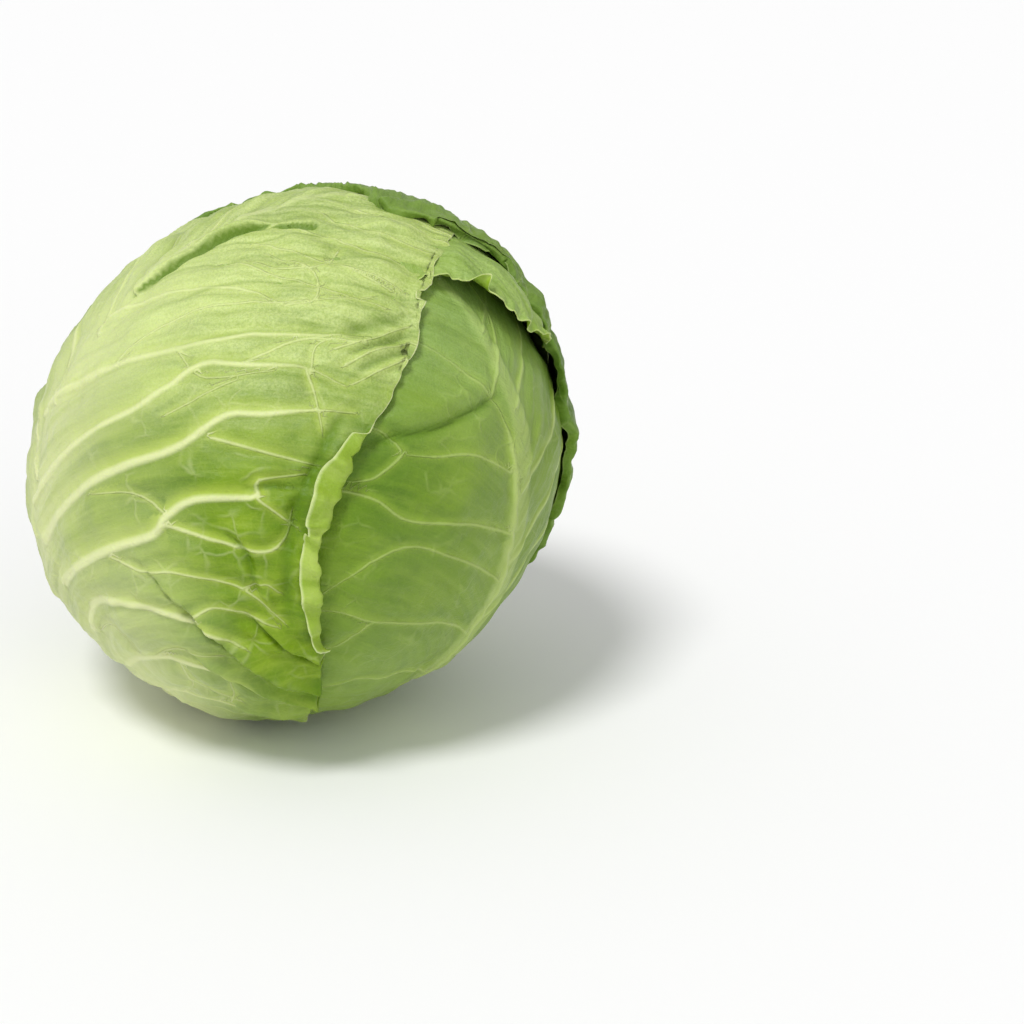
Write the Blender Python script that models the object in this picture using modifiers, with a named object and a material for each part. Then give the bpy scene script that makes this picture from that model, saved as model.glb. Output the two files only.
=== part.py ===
"""A head of green cabbage, standing on its cut stem.

Run with: blender --background --python part.py

Every leaf is a thin cup that springs from the stem at the bottom, climbs the side of the head and
folds over the crown. The leaves lie one inside another on nested egg-shaped layers, so each has its
own inset below the outermost one. Metres and degrees, +Z up, origin at the middle of the stem's cut end.
The front of the head faces -Y, and turns are measured from +X towards +Y.
"""

import math
from collections import namedtuple

import bmesh
import bpy

# Head
HEAD_RADIUS = 0.088  # half the width of the outermost layer
HEAD_HEIGHT = 0.168  # from the bottom of the outermost layer to its crown
BASE_SQUARENESS = 2.15  # 2 would make the lower half of the head round, more makes it squatter
BASE_INSET_SHARE = 0.65  # spacing of the layers under the head, as a share of their spacing at its sides
LEAN = 0.08  # how far the head leans towards +X for each metre of height
STEM_STANDS_PROUD = 0.0005  # the cut end reaches this far below the outermost layer

# Stem, which runs up inside the head as its core
STEM_CUT_RADIUS = 0.018
STEM_SHOULDER_RADIUS = 0.0188
STEM_SHOULDER_HEIGHT = 0.004
STEM_WAIST_RADIUS = 0.014
STEM_WAIST_HEIGHT = 0.034
STEM_TOP_RADIUS = 0.006
STEM_SIDES = 24

# Leaves
OUTER_LEAF_THICKNESS = 0.0010
OUTER_LEAF_GAP = 0.0006  # air between one outer leaf and the next one in, where their flat faces come nearest
INNER_LEAF_THICKNESS = 0.0011
INNER_LEAF_GAP = 0.0009
INNER_LEAVES = 12
INNER_LEAF_TURN = 137.5  # each inner leaf springs this far round from the one outside it
BASE_CLEARANCE = 0.0006  # between a leaf's base and the stem
WIDEST_BASE = 0.95  # the opening a leaf leaves for the stem, at most, as a share of its layer's width
TOUCHING_GAP = 0.0003  # between the heart and the top of the stem

# Air under the outermost leaves, where their free edges stand off the head
LIFTED_LEAVES = 3
LIFT_HEIGHT = 0.0055
LIFT_TURN = -3.0
LIFT_POLAR = 43.0
LIFT_REACH = 38.0

# Heart, the tight bud in the middle
HEART_SIDES = 20
HEART_RINGS = 9

# Faces
SMOOTH_BELOW = 40.0  # faces that meet at less than this angle are shaded as one surface
OUTER_GRID = (18, 15)  # faces across and along an outer leaf
CROWN_GRID = (24, 20)  # the outermost leaves bend more, where they stand off the head
INNER_GRID = (12, 11)

# midrib: turn of the leaf's midrib; fold: how far past the crown the leaf's cross lines close up;
# tip: how far short of that point the leaf ends; base, blade: half its width, as turns about that point;
# widens: the share of its length in which the base gives way to the blade;
# bluntness: 2 for a round tip, more for a squarer one
Leaf = namedtuple(
    "Leaf",
    "name midrib fold tip base blade widens bluntness inset lifted thickness grid colour",
)

DARK_GREEN = (0.16, 0.34, 0.06, 1.0)
MID_GREEN = (0.35, 0.55, 0.13, 1.0)
PALE_GREEN = (0.52, 0.68, 0.28, 1.0)
YELLOW_WHITE = (0.86, 0.86, 0.55, 1.0)
STEM_WHITE = (0.88, 0.84, 0.68, 1.0)


def face_bulge(grid):
    """How far inside its curve the flat faces of a leaf can cut, where the head bends most sharply."""
    narrow, wide = sorted((HEAD_RADIUS, HEAD_HEIGHT / 2.0))
    sharpness = wide**3 / narrow**2
    return sum(sharpness * (1.0 - math.cos(math.pi / faces / 2.0)) for faces in grid)


def outer_pitch():
    """From one outer layer to the next one in."""
    return OUTER_LEAF_THICKNESS + OUTER_LEAF_GAP + face_bulge(OUTER_GRID)


def inner_pitch():
    return INNER_LEAF_THICKNESS + INNER_LEAF_GAP + face_bulge(INNER_GRID)


def outer_leaves():
    """The leaves that show, from the outermost in."""
    shapes = (
        ("back_dark_leaf", 74.0, 12.0, 15.0, 45.0, 74.0, 0.4, 4.0, DARK_GREEN),
        ("left_front_leaf", 200.0, 50.0, 26.0, 74.0, 48.0, 0.6, 4.0, PALE_GREEN),
        ("crown_leaf", 140.0, 70.0, 38.0, 40.0, 72.0, 0.4, 4.0, MID_GREEN),
        ("right_front_leaf", 325.0, 40.0, 20.0, 45.0, 78.0, 0.4, 3.0, MID_GREEN),
        ("left_back_leaf", 150.0, 35.0, 18.0, 45.0, 82.0, 0.4, 3.0, PALE_GREEN),
        ("right_back_leaf", 30.0, 35.0, 18.0, 45.0, 82.0, 0.4, 3.0, PALE_GREEN),
    )
    leaves = []
    for layer, (*outline, colour) in enumerate(shapes):
        lifted = layer < LIFTED_LEAVES
        grid = CROWN_GRID if lifted else OUTER_GRID
        leaves.append(Leaf(*outline, layer * outer_pitch(), lifted, OUTER_LEAF_THICKNESS, grid, colour))
    return leaves


def inner_leaves():
    """The leaves inside the head, each turned on from the one outside it and a little more folded."""
    first_inset = len(outer_leaves()) * outer_pitch()
    leaves = []
    for number in range(INNER_LEAVES):
        depth = number / (INNER_LEAVES - 1)
        leaves.append(
            Leaf(
                name=f"inner_leaf_{number + 1:02d}",
                midrib=(270.0 + INNER_LEAF_TURN * number) % 360.0,
                fold=38.0 + 8.0 * depth,
                tip=16.0,
                base=45.0 - 10.0 * depth,
                blade=84.0,
                widens=0.4,
                bluntness=3.0,
                inset=first_inset + number * inner_pitch(),
                lifted=False,
                thickness=INNER_LEAF_THICKNESS,
                grid=INNER_GRID,
                colour=YELLOW_WHITE,
            )
        )
    return leaves


def smooth_step(low, high, value):
    share = min(max((value - low) / (high - low), 0.0), 1.0)
    return share * share * (3.0 - 2.0 * share)


def leaning(x, y, z):
    """Puts a point of the upright head where the lean carries it."""
    return (x + LEAN * z, y, z)


def lift(polar, turn):
    """How far the outermost leaves stand off the head in a direction, given in radians."""
    centre_polar = math.radians(LIFT_POLAR)
    apart = math.acos(
        max(
            -1.0,
            min(
                1.0,
                math.cos(polar) * math.cos(centre_polar)
                + math.sin(polar) * math.sin(centre_polar) * math.cos(turn - math.radians(LIFT_TURN)),
            ),
        )
    )
    return LIFT_HEIGHT * (1.0 - smooth_step(0.0, math.radians(LIFT_REACH), apart))


def layer_above(inset):
    """How far the layer reaches above the middle of the head. Its inset is measured at the widest place."""
    return HEAD_HEIGHT / 2.0 * (1.0 - inset / HEAD_RADIUS)


def layer_below(inset):
    """How far the layer reaches below the middle of the head."""
    return layer_above(BASE_INSET_SHARE * inset)


def layer_radius(polar, inset):
    """The layer's distance from the middle of the head: a round upper half on a squatter lower one."""
    wide = HEAD_RADIUS - inset
    if polar < math.pi / 2.0:
        power, high = 2.0, layer_above(inset)
    else:
        power, high = BASE_SQUARENESS, layer_below(inset)
    return ((math.sin(polar) / wide) ** power + (abs(math.cos(polar)) / high) ** power) ** (-1.0 / power)


def polar_near_stem(away, inset):
    """The direction of the point of the layer's underside that is this far from the upright axis."""
    share = min(away / (HEAD_RADIUS - inset), WIDEST_BASE)
    drop = layer_below(inset) * (1.0 - share**BASE_SQUARENESS) ** (1.0 / BASE_SQUARENESS)
    return math.pi - math.atan2(share * (HEAD_RADIUS - inset), drop)


def layer_point(polar, turn, inset, lifted):
    """The point of the layer at this inset in a direction: polar is measured from straight up."""
    radius = layer_radius(polar, inset)
    if lifted:
        radius += lift(polar, turn)
    return leaning(
        radius * math.sin(polar) * math.cos(turn),
        radius * math.sin(polar) * math.sin(turn),
        STEM_STANDS_PROUD + HEAD_HEIGHT / 2.0 + radius * math.cos(polar),
    )


def layer_bottom(inset):
    """Height of the lowest point of the layer."""
    return STEM_STANDS_PROUD + layer_below(0.0) - layer_below(inset)


def heart_inset():
    return inner_leaves()[-1].inset + inner_pitch()


def stem_profile():
    """Radius and height of each corner of the stem, from the cut end up."""
    return (
        (STEM_CUT_RADIUS, 0.0),
        (STEM_SHOULDER_RADIUS, STEM_SHOULDER_HEIGHT),
        (STEM_WAIST_RADIUS, STEM_WAIST_HEIGHT),
        (STEM_TOP_RADIUS, layer_bottom(heart_inset()) - TOUCHING_GAP),
    )


def widest_stem_above(height):
    """The stem's greatest radius from a height upwards, which a leaf's base has to clear."""
    corners = stem_profile()
    widest = max(radius for radius, corner_height in corners if corner_height >= height)
    for (low_radius, low), (high_radius, high) in zip(corners, corners[1:]):
        if low <= height <= high:
            share = (height - low) / (high - low)
            widest = max(widest, low_radius + share * (high_radius - low_radius))
    return widest


def base_reach(leaf):
    """Where the leaf starts: the corners of its base clear the stem, whose radius sets how near they come."""
    away = widest_stem_above(layer_bottom(leaf.inset)) + BASE_CLEARANCE
    nearest = math.tan(polar_near_stem(away, leaf.inset + leaf.thickness) / 2.0)
    shift = math.tan(math.radians(leaf.fold) / 2.0)
    corner = math.radians(leaf.base)
    return shift * math.cos(corner) + math.sqrt(nearest**2 - (shift * math.sin(corner)) ** 2)


def leaf_outline(across, along, bluntness):
    """Rounds a square, across -1 to 1 and along 0 to 1, into a leaf's outline with the same base corners."""
    x = across * math.sqrt(1.0 - along * along / 2.0)
    y = along * math.sqrt(1.0 - across * across / 2.0)
    size = math.hypot(x, y)
    if size < 1e-6:
        return x, y
    squarer = 1.0 / ((abs(x) / size) ** bluntness + (y / size) ** bluntness) ** (1.0 / bluntness)
    stretch = 1.0 + (squarer - 1.0) * size * size
    return x * stretch, y * stretch


def leaf_point(leaf, across, along):
    """The place on its layer of a point of the leaf.

    Seen from the stem as a flat map, with the crown in the middle, the leaf's cross lines are arcs
    round a point past the crown. That point is the map's middle moved away from the midrib.
    """
    x, y = leaf_outline(across, along, leaf.bluntness)
    start = 2.0 * math.atan(base_reach(leaf))
    around = start + (math.radians(leaf.tip) - start) * y
    half_width = leaf.base + (leaf.blade - leaf.base) * smooth_step(0.0, leaf.widens, y)
    turn = math.radians(leaf.midrib + x * half_width)
    reach = math.tan(around / 2.0)
    shift = math.tan(math.radians(leaf.fold) / 2.0)
    midrib = math.radians(leaf.midrib)
    map_x = reach * math.cos(turn) - shift * math.cos(midrib)
    map_y = reach * math.sin(turn) - shift * math.sin(midrib)
    polar = 2.0 * math.atan(math.hypot(map_x, map_y))
    return layer_point(polar, math.atan2(map_y, map_x), leaf.inset, leaf.lifted)


def material(name, colour, roughness):
    """One plain Principled material."""
    made = bpy.data.materials.get(name)
    if made is None:
        made = bpy.data.materials.new(name)
        made.use_nodes = True
        shader = made.node_tree.nodes["Principled BSDF"]
        shader.inputs["Base Color"].default_value = colour
        shader.inputs["Roughness"].default_value = roughness
        shader.inputs["Metallic"].default_value = 0.0
    return made


def add_object(name, mesh, collection, finish):
    mesh.materials.append(finish)
    made = bpy.data.objects.new(name, mesh)
    collection.objects.link(made)
    return made


def add_leaf(leaf, collection):
    """A flat grid bent onto its layer, then given its thickness inwards."""
    across_faces, along_faces = leaf.grid
    shape = bmesh.new()
    bmesh.ops.create_grid(shape, x_segments=across_faces, y_segments=along_faces, size=1.0)
    for vertex in shape.verts:
        vertex.co = leaf_point(leaf, vertex.co.x, (vertex.co.y + 1.0) / 2.0)
    bmesh.ops.recalc_face_normals(shape, faces=shape.faces)
    middle = max(shape.faces, key=lambda face: face.calc_area())
    centre_height = STEM_STANDS_PROUD + HEAD_HEIGHT / 2.0
    outwards = middle.calc_center_median()
    outwards.x -= LEAN * outwards.z
    outwards.z -= centre_height
    if middle.normal.dot(outwards) < 0.0:
        bmesh.ops.reverse_faces(shape, faces=shape.faces)
    mesh = bpy.data.meshes.new(leaf.name)
    shape.to_mesh(mesh)
    shape.free()
    mesh.shade_smooth()
    finish = material("leaf_" + "_".join(f"{part:.2f}" for part in leaf.colour[:3]), leaf.colour, 0.5)
    made = add_object(leaf.name, mesh, collection, finish)
    shell = made.modifiers.new("thickness", "SOLIDIFY")
    shell.thickness = leaf.thickness
    shell.offset = -1.0
    shell.use_even_offset = True


def add_turned(name, profile, sides, collection, finish):
    """A solid turned about the upright axis from a profile of (radius, height), then leant with the head."""
    shape = bmesh.new()
    rings = []
    for radius, height in profile:
        ring = bmesh.ops.create_circle(shape, segments=sides, radius=radius)["verts"]
        for vertex in ring:
            vertex.co = leaning(vertex.co.x, vertex.co.y, height)
        rings.append(ring)
    for low, high in zip(rings, rings[1:]):
        edges = [edge for ring in (low, high) for edge in shape.edges if set(edge.verts) <= set(ring)]
        bmesh.ops.bridge_loops(shape, edges=edges)
    for ring in (rings[0], rings[-1]):
        shape.faces.new(ring)
    bmesh.ops.recalc_face_normals(shape, faces=shape.faces)
    mesh = bpy.data.meshes.new(name)
    shape.to_mesh(mesh)
    shape.free()
    mesh.shade_smooth()
    mesh.set_sharp_from_angle(angle=math.radians(SMOOTH_BELOW))
    add_object(name, mesh, collection, finish)


def heart_profile():
    """The heart's outline: a flat underside as wide as the stem's top, then rings of its own layer."""
    middle = STEM_STANDS_PROUD + HEAD_HEIGHT / 2.0
    start = polar_near_stem(STEM_TOP_RADIUS, heart_inset())
    profile = [(STEM_TOP_RADIUS, layer_bottom(heart_inset()))]
    for ring in range(1, HEART_RINGS):
        polar = start * (1.0 - ring / HEART_RINGS)
        radius = layer_radius(polar, heart_inset())
        profile.append((radius * math.sin(polar), middle + radius * math.cos(polar)))
    return profile


def clear_scene():
    for thing in list(bpy.data.objects):
        bpy.data.objects.remove(thing)


def build():
    clear_scene()
    collection = bpy.data.collections.new("cabbage_head")
    bpy.context.scene.collection.children.link(collection)
    add_turned("stem_core", stem_profile(), STEM_SIDES, collection, material("stem", STEM_WHITE, 0.6))
    add_turned("heart_bud", heart_profile(), HEART_SIDES, collection, material("heart", YELLOW_WHITE, 0.5))
    for leaf in outer_leaves() + inner_leaves():
        add_leaf(leaf, collection)


build()
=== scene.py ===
"""Looks of a head of green cabbage: veined, puckered leaves round a packed middle, on a pale floor.

Every leaf is one sheet laid over its own layer of the head. A place on a leaf is (turn, around): the turn
away from its midrib, and how far round it lies from the point past the crown where its cross lines close up,
both in degrees. Metres everywhere else, +Z up, the front of the head towards -Y.
"""

import math
from collections import namedtuple

import bpy
import numpy as np
from mathutils.kdtree import KDTree
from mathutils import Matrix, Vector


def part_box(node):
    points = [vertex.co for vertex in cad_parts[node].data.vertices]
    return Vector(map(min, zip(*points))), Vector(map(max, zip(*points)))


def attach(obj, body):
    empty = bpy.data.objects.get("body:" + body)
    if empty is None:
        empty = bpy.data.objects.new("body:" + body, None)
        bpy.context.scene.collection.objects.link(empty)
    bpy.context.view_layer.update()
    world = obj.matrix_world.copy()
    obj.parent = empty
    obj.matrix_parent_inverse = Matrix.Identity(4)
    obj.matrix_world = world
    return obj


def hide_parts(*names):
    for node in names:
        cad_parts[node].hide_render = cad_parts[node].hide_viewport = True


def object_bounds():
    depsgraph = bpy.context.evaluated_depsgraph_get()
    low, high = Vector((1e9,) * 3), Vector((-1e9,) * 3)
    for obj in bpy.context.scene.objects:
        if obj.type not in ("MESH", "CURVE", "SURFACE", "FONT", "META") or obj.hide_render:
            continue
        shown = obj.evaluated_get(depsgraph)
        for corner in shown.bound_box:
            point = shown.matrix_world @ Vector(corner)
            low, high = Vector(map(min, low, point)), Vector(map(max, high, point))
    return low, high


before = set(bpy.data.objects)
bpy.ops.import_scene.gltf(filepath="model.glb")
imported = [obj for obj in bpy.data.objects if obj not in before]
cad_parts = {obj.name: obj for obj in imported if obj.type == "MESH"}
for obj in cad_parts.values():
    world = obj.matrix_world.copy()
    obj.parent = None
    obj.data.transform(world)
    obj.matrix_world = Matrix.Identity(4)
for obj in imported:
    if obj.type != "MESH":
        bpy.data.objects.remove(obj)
CAD_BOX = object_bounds()
MM = 0.001

# The head, measured on the frame
HEAD_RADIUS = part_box("back_dark_leaf")[1].y
HEAD_BOTTOM = 0.0005
HEAD_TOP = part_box("back_dark_leaf")[1].z
HALF_HEIGHT = (HEAD_TOP - HEAD_BOTTOM) / 2.0
MIDDLE = HEAD_BOTTOM + HALF_HEIGHT
STEM_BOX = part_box("stem_core")
STEM_RADIUS = STEM_BOX[1].y
STEM_TOP = STEM_BOX[1].z
# The stem from its cut end up: heights, and radii as shares of its greatest
STEM_HEIGHTS = (0.0, 4.0 * MM, 34.0 * MM, STEM_TOP)
STEM_SHARES = (0.957, 1.0, 0.745, 0.32)
LEAN = 0.08  # sideways for each metre of height
BASE_SQUARENESS = 2.15
BASE_INSET_SHARE = 0.65

# Where the outermost leaves stand off the head: polar, turn, reach in degrees, and height
LIFT = (43.0, -3.0, 38.0, 5.5 * MM)
# Low swells and flats that every layer shares, as the lift is given
SWELLS = (
    (60.0, 170.0, 60.0, -3.4 * MM),
    (130.0, 198.0, 48.0, -3.0 * MM),
    (100.0, -110.0, 50.0, 1.0 * MM),
    (75.0, -40.0, 40.0, 0.8 * MM),
    (8.0, 90.0, 30.0, 1.4 * MM),
    (50.0, 12.0, 45.0, -2.2 * MM),
    (24.0, 146.0, 30.0, -1.5 * MM),
)

OUTER_PITCH = 1.35 * MM  # from one outer leaf to the next one in
INNER_LEAVES = 12
FIRST_INNER_INSET = 15.0 * MM
INNER_PITCH = 3.8 * MM
PLANT_ANGLE = 137.5  # from each inner leaf's midrib to the next one's
BUD_WRAPS = 3  # little leaves wrapped round the bud in one turn
BLADE_THICKNESS = 0.55 * MM
MIDRIB_THICKNESS = 1.6 * MM  # more under the midrib, growing inwards
FLOOR_CLEARANCE = 0.4 * MM
EDGE_THICKNESS = 0.40 * MM
RIM_STEPS = 16  # rows across the curled rim of a leaf; its outer side takes every second one
COARSER = 3  # faces of a leaf's outside, across and along, for each one of its inside


def rows_of(*values):
    return np.array(values, float).T


def smooth(low, high, value):
    """0 below low and 1 above high, or the other way round if high is the lower of the two."""
    share = np.clip((np.asarray(value, float) - low) / (high - low), 0.0, 1.0)
    return share * share * (3.0 - 2.0 * share)


def between(value, start, risen, falling, end):
    """1 from risen to falling, and 0 before start and after end."""
    return smooth(start, risen, value) * smooth(end, falling, value)


def bell(value, centre, half_width):
    return np.exp(-(((value - centre) / half_width) ** 2))


def ripple(points, wavelength, seed, waves=14):
    """Smooth noise of about -1 to 1 over places in space, with lumps about half a wavelength across."""
    random = np.random.default_rng(seed)
    heading = random.normal(size=(waves, points.shape[-1]))
    heading /= np.linalg.norm(heading, axis=1, keepdims=True)
    heading *= 2.0 * math.pi / (wavelength * random.uniform(0.75, 1.35, (waves, 1)))
    phase = random.uniform(0.0, 2.0 * math.pi, waves)
    return np.sin(points @ heading.T + phase).sum(axis=-1) / math.sqrt(waves)


def unit(vectors):
    return vectors / np.maximum(np.linalg.norm(vectors, axis=-1, keepdims=True), 1e-12)


# ---------------------------------------------------------------- the head's layers


def towards(polar, turn):
    """Unit vectors from the middle of the head, for directions in radians."""
    return np.stack([np.sin(polar) * np.cos(turn), np.sin(polar) * np.sin(turn), np.cos(polar)], axis=-1)


def bump_round(direction, spot):
    """A low round bump over a spot given as polar, turn, reach and height."""
    polar, turn, reach, height = spot
    middle = towards(math.radians(polar), math.radians(turn))
    apart = np.degrees(np.arccos(np.clip(direction @ middle, -1, 1)))
    return height * (1.0 - smooth(0.0, reach, apart))


def layer_radius(polar, inset):
    """A layer's distance from the middle of the head, before swells: rounder above, squatter below."""
    wide = HEAD_RADIUS - inset
    above = HALF_HEIGHT * (1.0 - inset / HEAD_RADIUS)
    below = HALF_HEIGHT * (1.0 - BASE_INSET_SHARE * inset / HEAD_RADIUS)
    across, up = np.sin(polar), np.abs(np.cos(polar))
    rounder = ((across / wide) ** 2 + (up / above) ** 2) ** -0.5
    power = BASE_SQUARENESS
    squatter = ((across / wide) ** power + (up / below) ** power) ** (-1.0 / power)
    return np.where(polar < math.pi / 2.0, rounder, squatter)


def on_layer(polar, turn, inset, lifted):
    """Places on the layer that lies inset below the outermost one, for directions in radians."""
    direction = towards(polar, turn)
    radius = layer_radius(polar, inset)
    for swell in SWELLS:
        radius = radius + bump_round(direction, swell)
    radius = radius + 0.5 * MM * ripple(direction, 0.75, 5)
    if lifted:
        radius = radius + bump_round(direction, LIFT)
    places = direction * radius[..., None]
    places[..., 2] += MIDDLE
    places[..., 0] += LEAN * places[..., 2]
    return places


# ---------------------------------------------------------------- how a leaf is drawn

# midrib: the turn of its midrib round the head; fold: how far past the crown its cross lines close up
# tip: how far round its tip lies, as seen from there
# right, left: half the leaf's width in degrees at shares of its length, as seen from outside, crown up
# crest: how much of the full length it reaches at shares of its width, -1 its left margin and 1 its right
# bluntness: 2 for a round outline, more for a squarer one; inset: how deep its layer lies
# grid: faces across and along it; favour: the side of the leaf that gets the finer faces, -1, 0 or 1
# pucker: how far the blade stands up between its veins
Leaf = namedtuple("Leaf", "name midrib fold tip right left crest bluntness inset lifted grid favour pucker")


def leaf_at(leaf, turn, around):
    """Directions, in radians, of places on a leaf."""
    reach = np.tan(np.radians(around) / 2.0)
    shift = math.tan(math.radians(leaf.fold) / 2.0)
    midrib = math.radians(leaf.midrib)
    angle = midrib + np.radians(turn)
    map_x = reach * np.cos(angle) - shift * math.cos(midrib)
    map_y = reach * np.sin(angle) - shift * math.sin(midrib)
    return 2.0 * np.arctan(np.hypot(map_x, map_y)), np.arctan2(map_y, map_x)


def leaf_from(leaf, polar, turn):
    """The other way round: the place on a leaf of a direction."""
    reach = np.tan(polar / 2.0)
    shift = math.tan(math.radians(leaf.fold) / 2.0)
    midrib = math.radians(leaf.midrib)
    map_x = reach * np.cos(turn) + shift * math.cos(midrib)
    map_y = reach * np.sin(turn) + shift * math.sin(midrib)
    away = (np.degrees(np.arctan2(map_y, map_x)) - leaf.midrib + 180.0) % 360.0 - 180.0
    return away, np.degrees(2.0 * np.arctan(np.hypot(map_x, map_y)))


def stem_radius(height):
    return STEM_RADIUS * np.interp(height, STEM_HEIGHTS, STEM_SHARES)


def base_around(leaf):
    """Where the leaf's base meets the side of the stem."""
    height = HALF_HEIGHT * BASE_INSET_SHARE * leaf.inset / HEAD_RADIUS
    share = (stem_radius(height) - 0.2 * MM) / (HEAD_RADIUS - leaf.inset)
    low = math.pi - math.asin(min(share, 0.95))
    shift = math.tan(math.radians(leaf.fold) / 2.0)
    return math.degrees(2.0 * math.atan(math.tan(low / 2.0) + shift * 0.7))


def length_share(leaf, around):
    """How far up a leaf a place lies, 0 at its base and 1 at its tip."""
    base = base_around(leaf)
    return (around - base) / (leaf.tip - base)


def rounded_path(points, at):
    """The value at `at` on a line through a few (place, value) points, with its corners rounded off."""
    place, value = rows_of(*points)
    fine = np.linspace(place[0], place[-1], 101)
    window = np.hanning(17) / np.hanning(17).sum()
    rounded = np.convolve(np.pad(np.interp(fine, place, value), 8, mode="edge"), window, mode="valid")
    return np.interp(at, fine, rounded)


def half_width(leaf, share, right_side):
    return np.where(right_side, rounded_path(leaf.right, share), rounded_path(leaf.left, share))


def leaf_outline(across, along, bluntness):
    """Rounds a square, across -1 to 1 and along 0 to 1, into a leaf's outline with the same base corners."""
    x = across * np.sqrt(1.0 - along * along / 2.0)
    y = along * np.sqrt(1.0 - across * across / 2.0)
    size = np.maximum(np.hypot(x, y), 1e-9)
    squarer = 1.0 / ((np.abs(x) / size) ** bluntness + (y / size) ** bluntness) ** (1.0 / bluntness)
    stretch = 1.0 + (squarer - 1.0) * size * size
    return x * stretch, y * stretch


def leaf_places(leaf, x, y):
    """Turn and around of places given as shares of the leaf's width and length."""
    base = base_around(leaf)
    return x * half_width(leaf, y, x > 0.0), base + (leaf.tip - base) * y * rounded_path(leaf.crest, x)


def inside(leaf, polar, turn):
    """1 well inside the leaf's outline and 0 outside it, for directions."""
    away, around = leaf_from(leaf, polar, turn)
    y = length_share(leaf, around)
    x = away / half_width(leaf, np.clip(y, 0.0, 1.0), away > 0.0)
    y = np.clip(y, 0.0, 2.0) / rounded_path(leaf.crest, np.clip(x, -1.0, 1.0))
    rim = (np.abs(x) ** leaf.bluntness + y**leaf.bluntness) ** (1.0 / leaf.bluntness)
    return 1.0 - smooth(0.99, 1.08, rim)


def spread(count, low, high, favour):
    """Places from low to high, twice as close together on the favoured side."""
    fine = np.linspace(low, high, 401)
    close = 1.0 + 1.2 * smooth(-0.45, 0.0, favour * fine) if favour else np.ones(401)
    so_far = np.concatenate([[0.0], np.cumsum(0.5 * (close[1:] + close[:-1]))])
    return np.interp(np.linspace(0.0, so_far[-1], count), so_far, fine)


def along_veins(away, around):
    """A value that is the same all along a side vein: side veins rise steeply and level out."""
    return around + 42.0 * (1.0 - np.exp(-np.abs(away) / 32.0)) * smooth(150.0, 125.0, around)


# ---------------------------------------------------------------- veins

# A vein is its points as (turn, around) on the leaf, then in mm its half width at each end and how far it
# stands out
Vein = namedtuple("Vein", "points start_half end_half height")


def curve_through(points, steps):
    """Evenly spaced places on a smooth curve through a few points."""
    points = np.array(points, float)
    if len(points) == 2:
        share = np.linspace(0.0, 1.0, steps)[:, None]
        return points[0] * (1.0 - share) + points[1] * share
    ends = np.vstack([2 * points[0] - points[1], points, 2 * points[-1] - points[-2]])
    runs = []
    for a, b, c, d in zip(ends, ends[1:], ends[2:], ends[3:]):
        t = np.linspace(0.0, 1.0, 12, endpoint=False)[:, None]
        run = 2 * b + (c - a) * t
        run = run + (2 * a - 5 * b + 4 * c - d) * t**2 + (3 * b - a - 3 * c + d) * t**3
        runs.append(0.5 * run)
    fine = np.vstack(runs + [points[-1:]])
    length = np.concatenate([[0.0], np.cumsum(np.linalg.norm(np.diff(fine, axis=0), axis=1))])
    even = np.linspace(0.0, length[-1], steps)
    return np.column_stack([np.interp(even, length, fine[:, column]) for column in range(2)])


def lateral(start, half, margin, side, reach, width, height=0.6):
    """A side vein: leaves the midrib at start, passes half way out at half, and reaches the margin."""
    points = [(0.0, start), (side * reach * 0.22, start + (half - start) * 0.55)]
    points += [(side * reach * 0.5, half), (side * reach, margin)]
    return Vein(points, width, width * 0.4, height)


def ruled_laterals(leaf, count, lowest, highest, seed, sides=(-1, 1)):
    """Side veins by rule: evenly up the midrib, each rising and then levelling towards the margin."""
    random = np.random.default_rng(seed)
    veins = []
    for side in sides:
        for number in range(count):
            start = lowest + (highest - lowest) * (number + 0.3 * (side > 0)) / count
            start += random.uniform(-1.5, 1.5)
            share = min(length_share(leaf, start) + 0.15, 0.9)
            reach = 0.96 * float(half_width(leaf, np.array(share), np.array(side > 0)))
            rise = random.uniform(14.0, 20.0) * min(1.0, reach / 50.0)
            width = 0.95 - 0.45 * number / count
            veins.append(lateral(start, start - rise, start - 1.55 * rise, side, reach, width))
            out = random.uniform(0.45, 0.62)
            fork_at = (side * reach * out, start - rise * (1.0 + 0.4 * (out - 0.5)))
            fork_to = (side * reach * 0.95, fork_at[1] + random.uniform(6.0, 12.0))
            middle = ((fork_at[0] + fork_to[0]) / 2.0, (fork_at[1] + fork_to[1]) / 2.0 - 2.0)
            veins.append(Vein([fork_at, middle, fork_to], width * 0.5, width * 0.25, 0.3))
    return veins


def nearest_on_path(places, path):
    """For each place, its offset from the nearest point of a path, how far along that is, and the heading."""
    starts, runs = path[:-1], np.diff(path, axis=0)
    lengths = np.maximum((runs**2).sum(axis=1), 1e-12)
    offset = places[:, None, :] - starts[None, :, :]
    share = np.clip((offset * runs).sum(axis=2) / lengths, 0.0, 1.0)
    miss = offset - share[..., None] * runs
    best = (miss**2).sum(axis=2).argmin(axis=1)
    row = np.arange(len(places))
    return miss[row, best], (best + share[row, best]) / len(runs), runs[best]


def path_on(leaf, points, steps):
    """A smooth curve through a few (turn, around) points, laid on the leaf."""
    drawn = curve_through(points, steps)
    polar, turn = leaf_at(leaf, drawn[:, 0], drawn[:, 1])
    return on_layer(polar, turn, leaf.inset, leaf.lifted)


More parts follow.
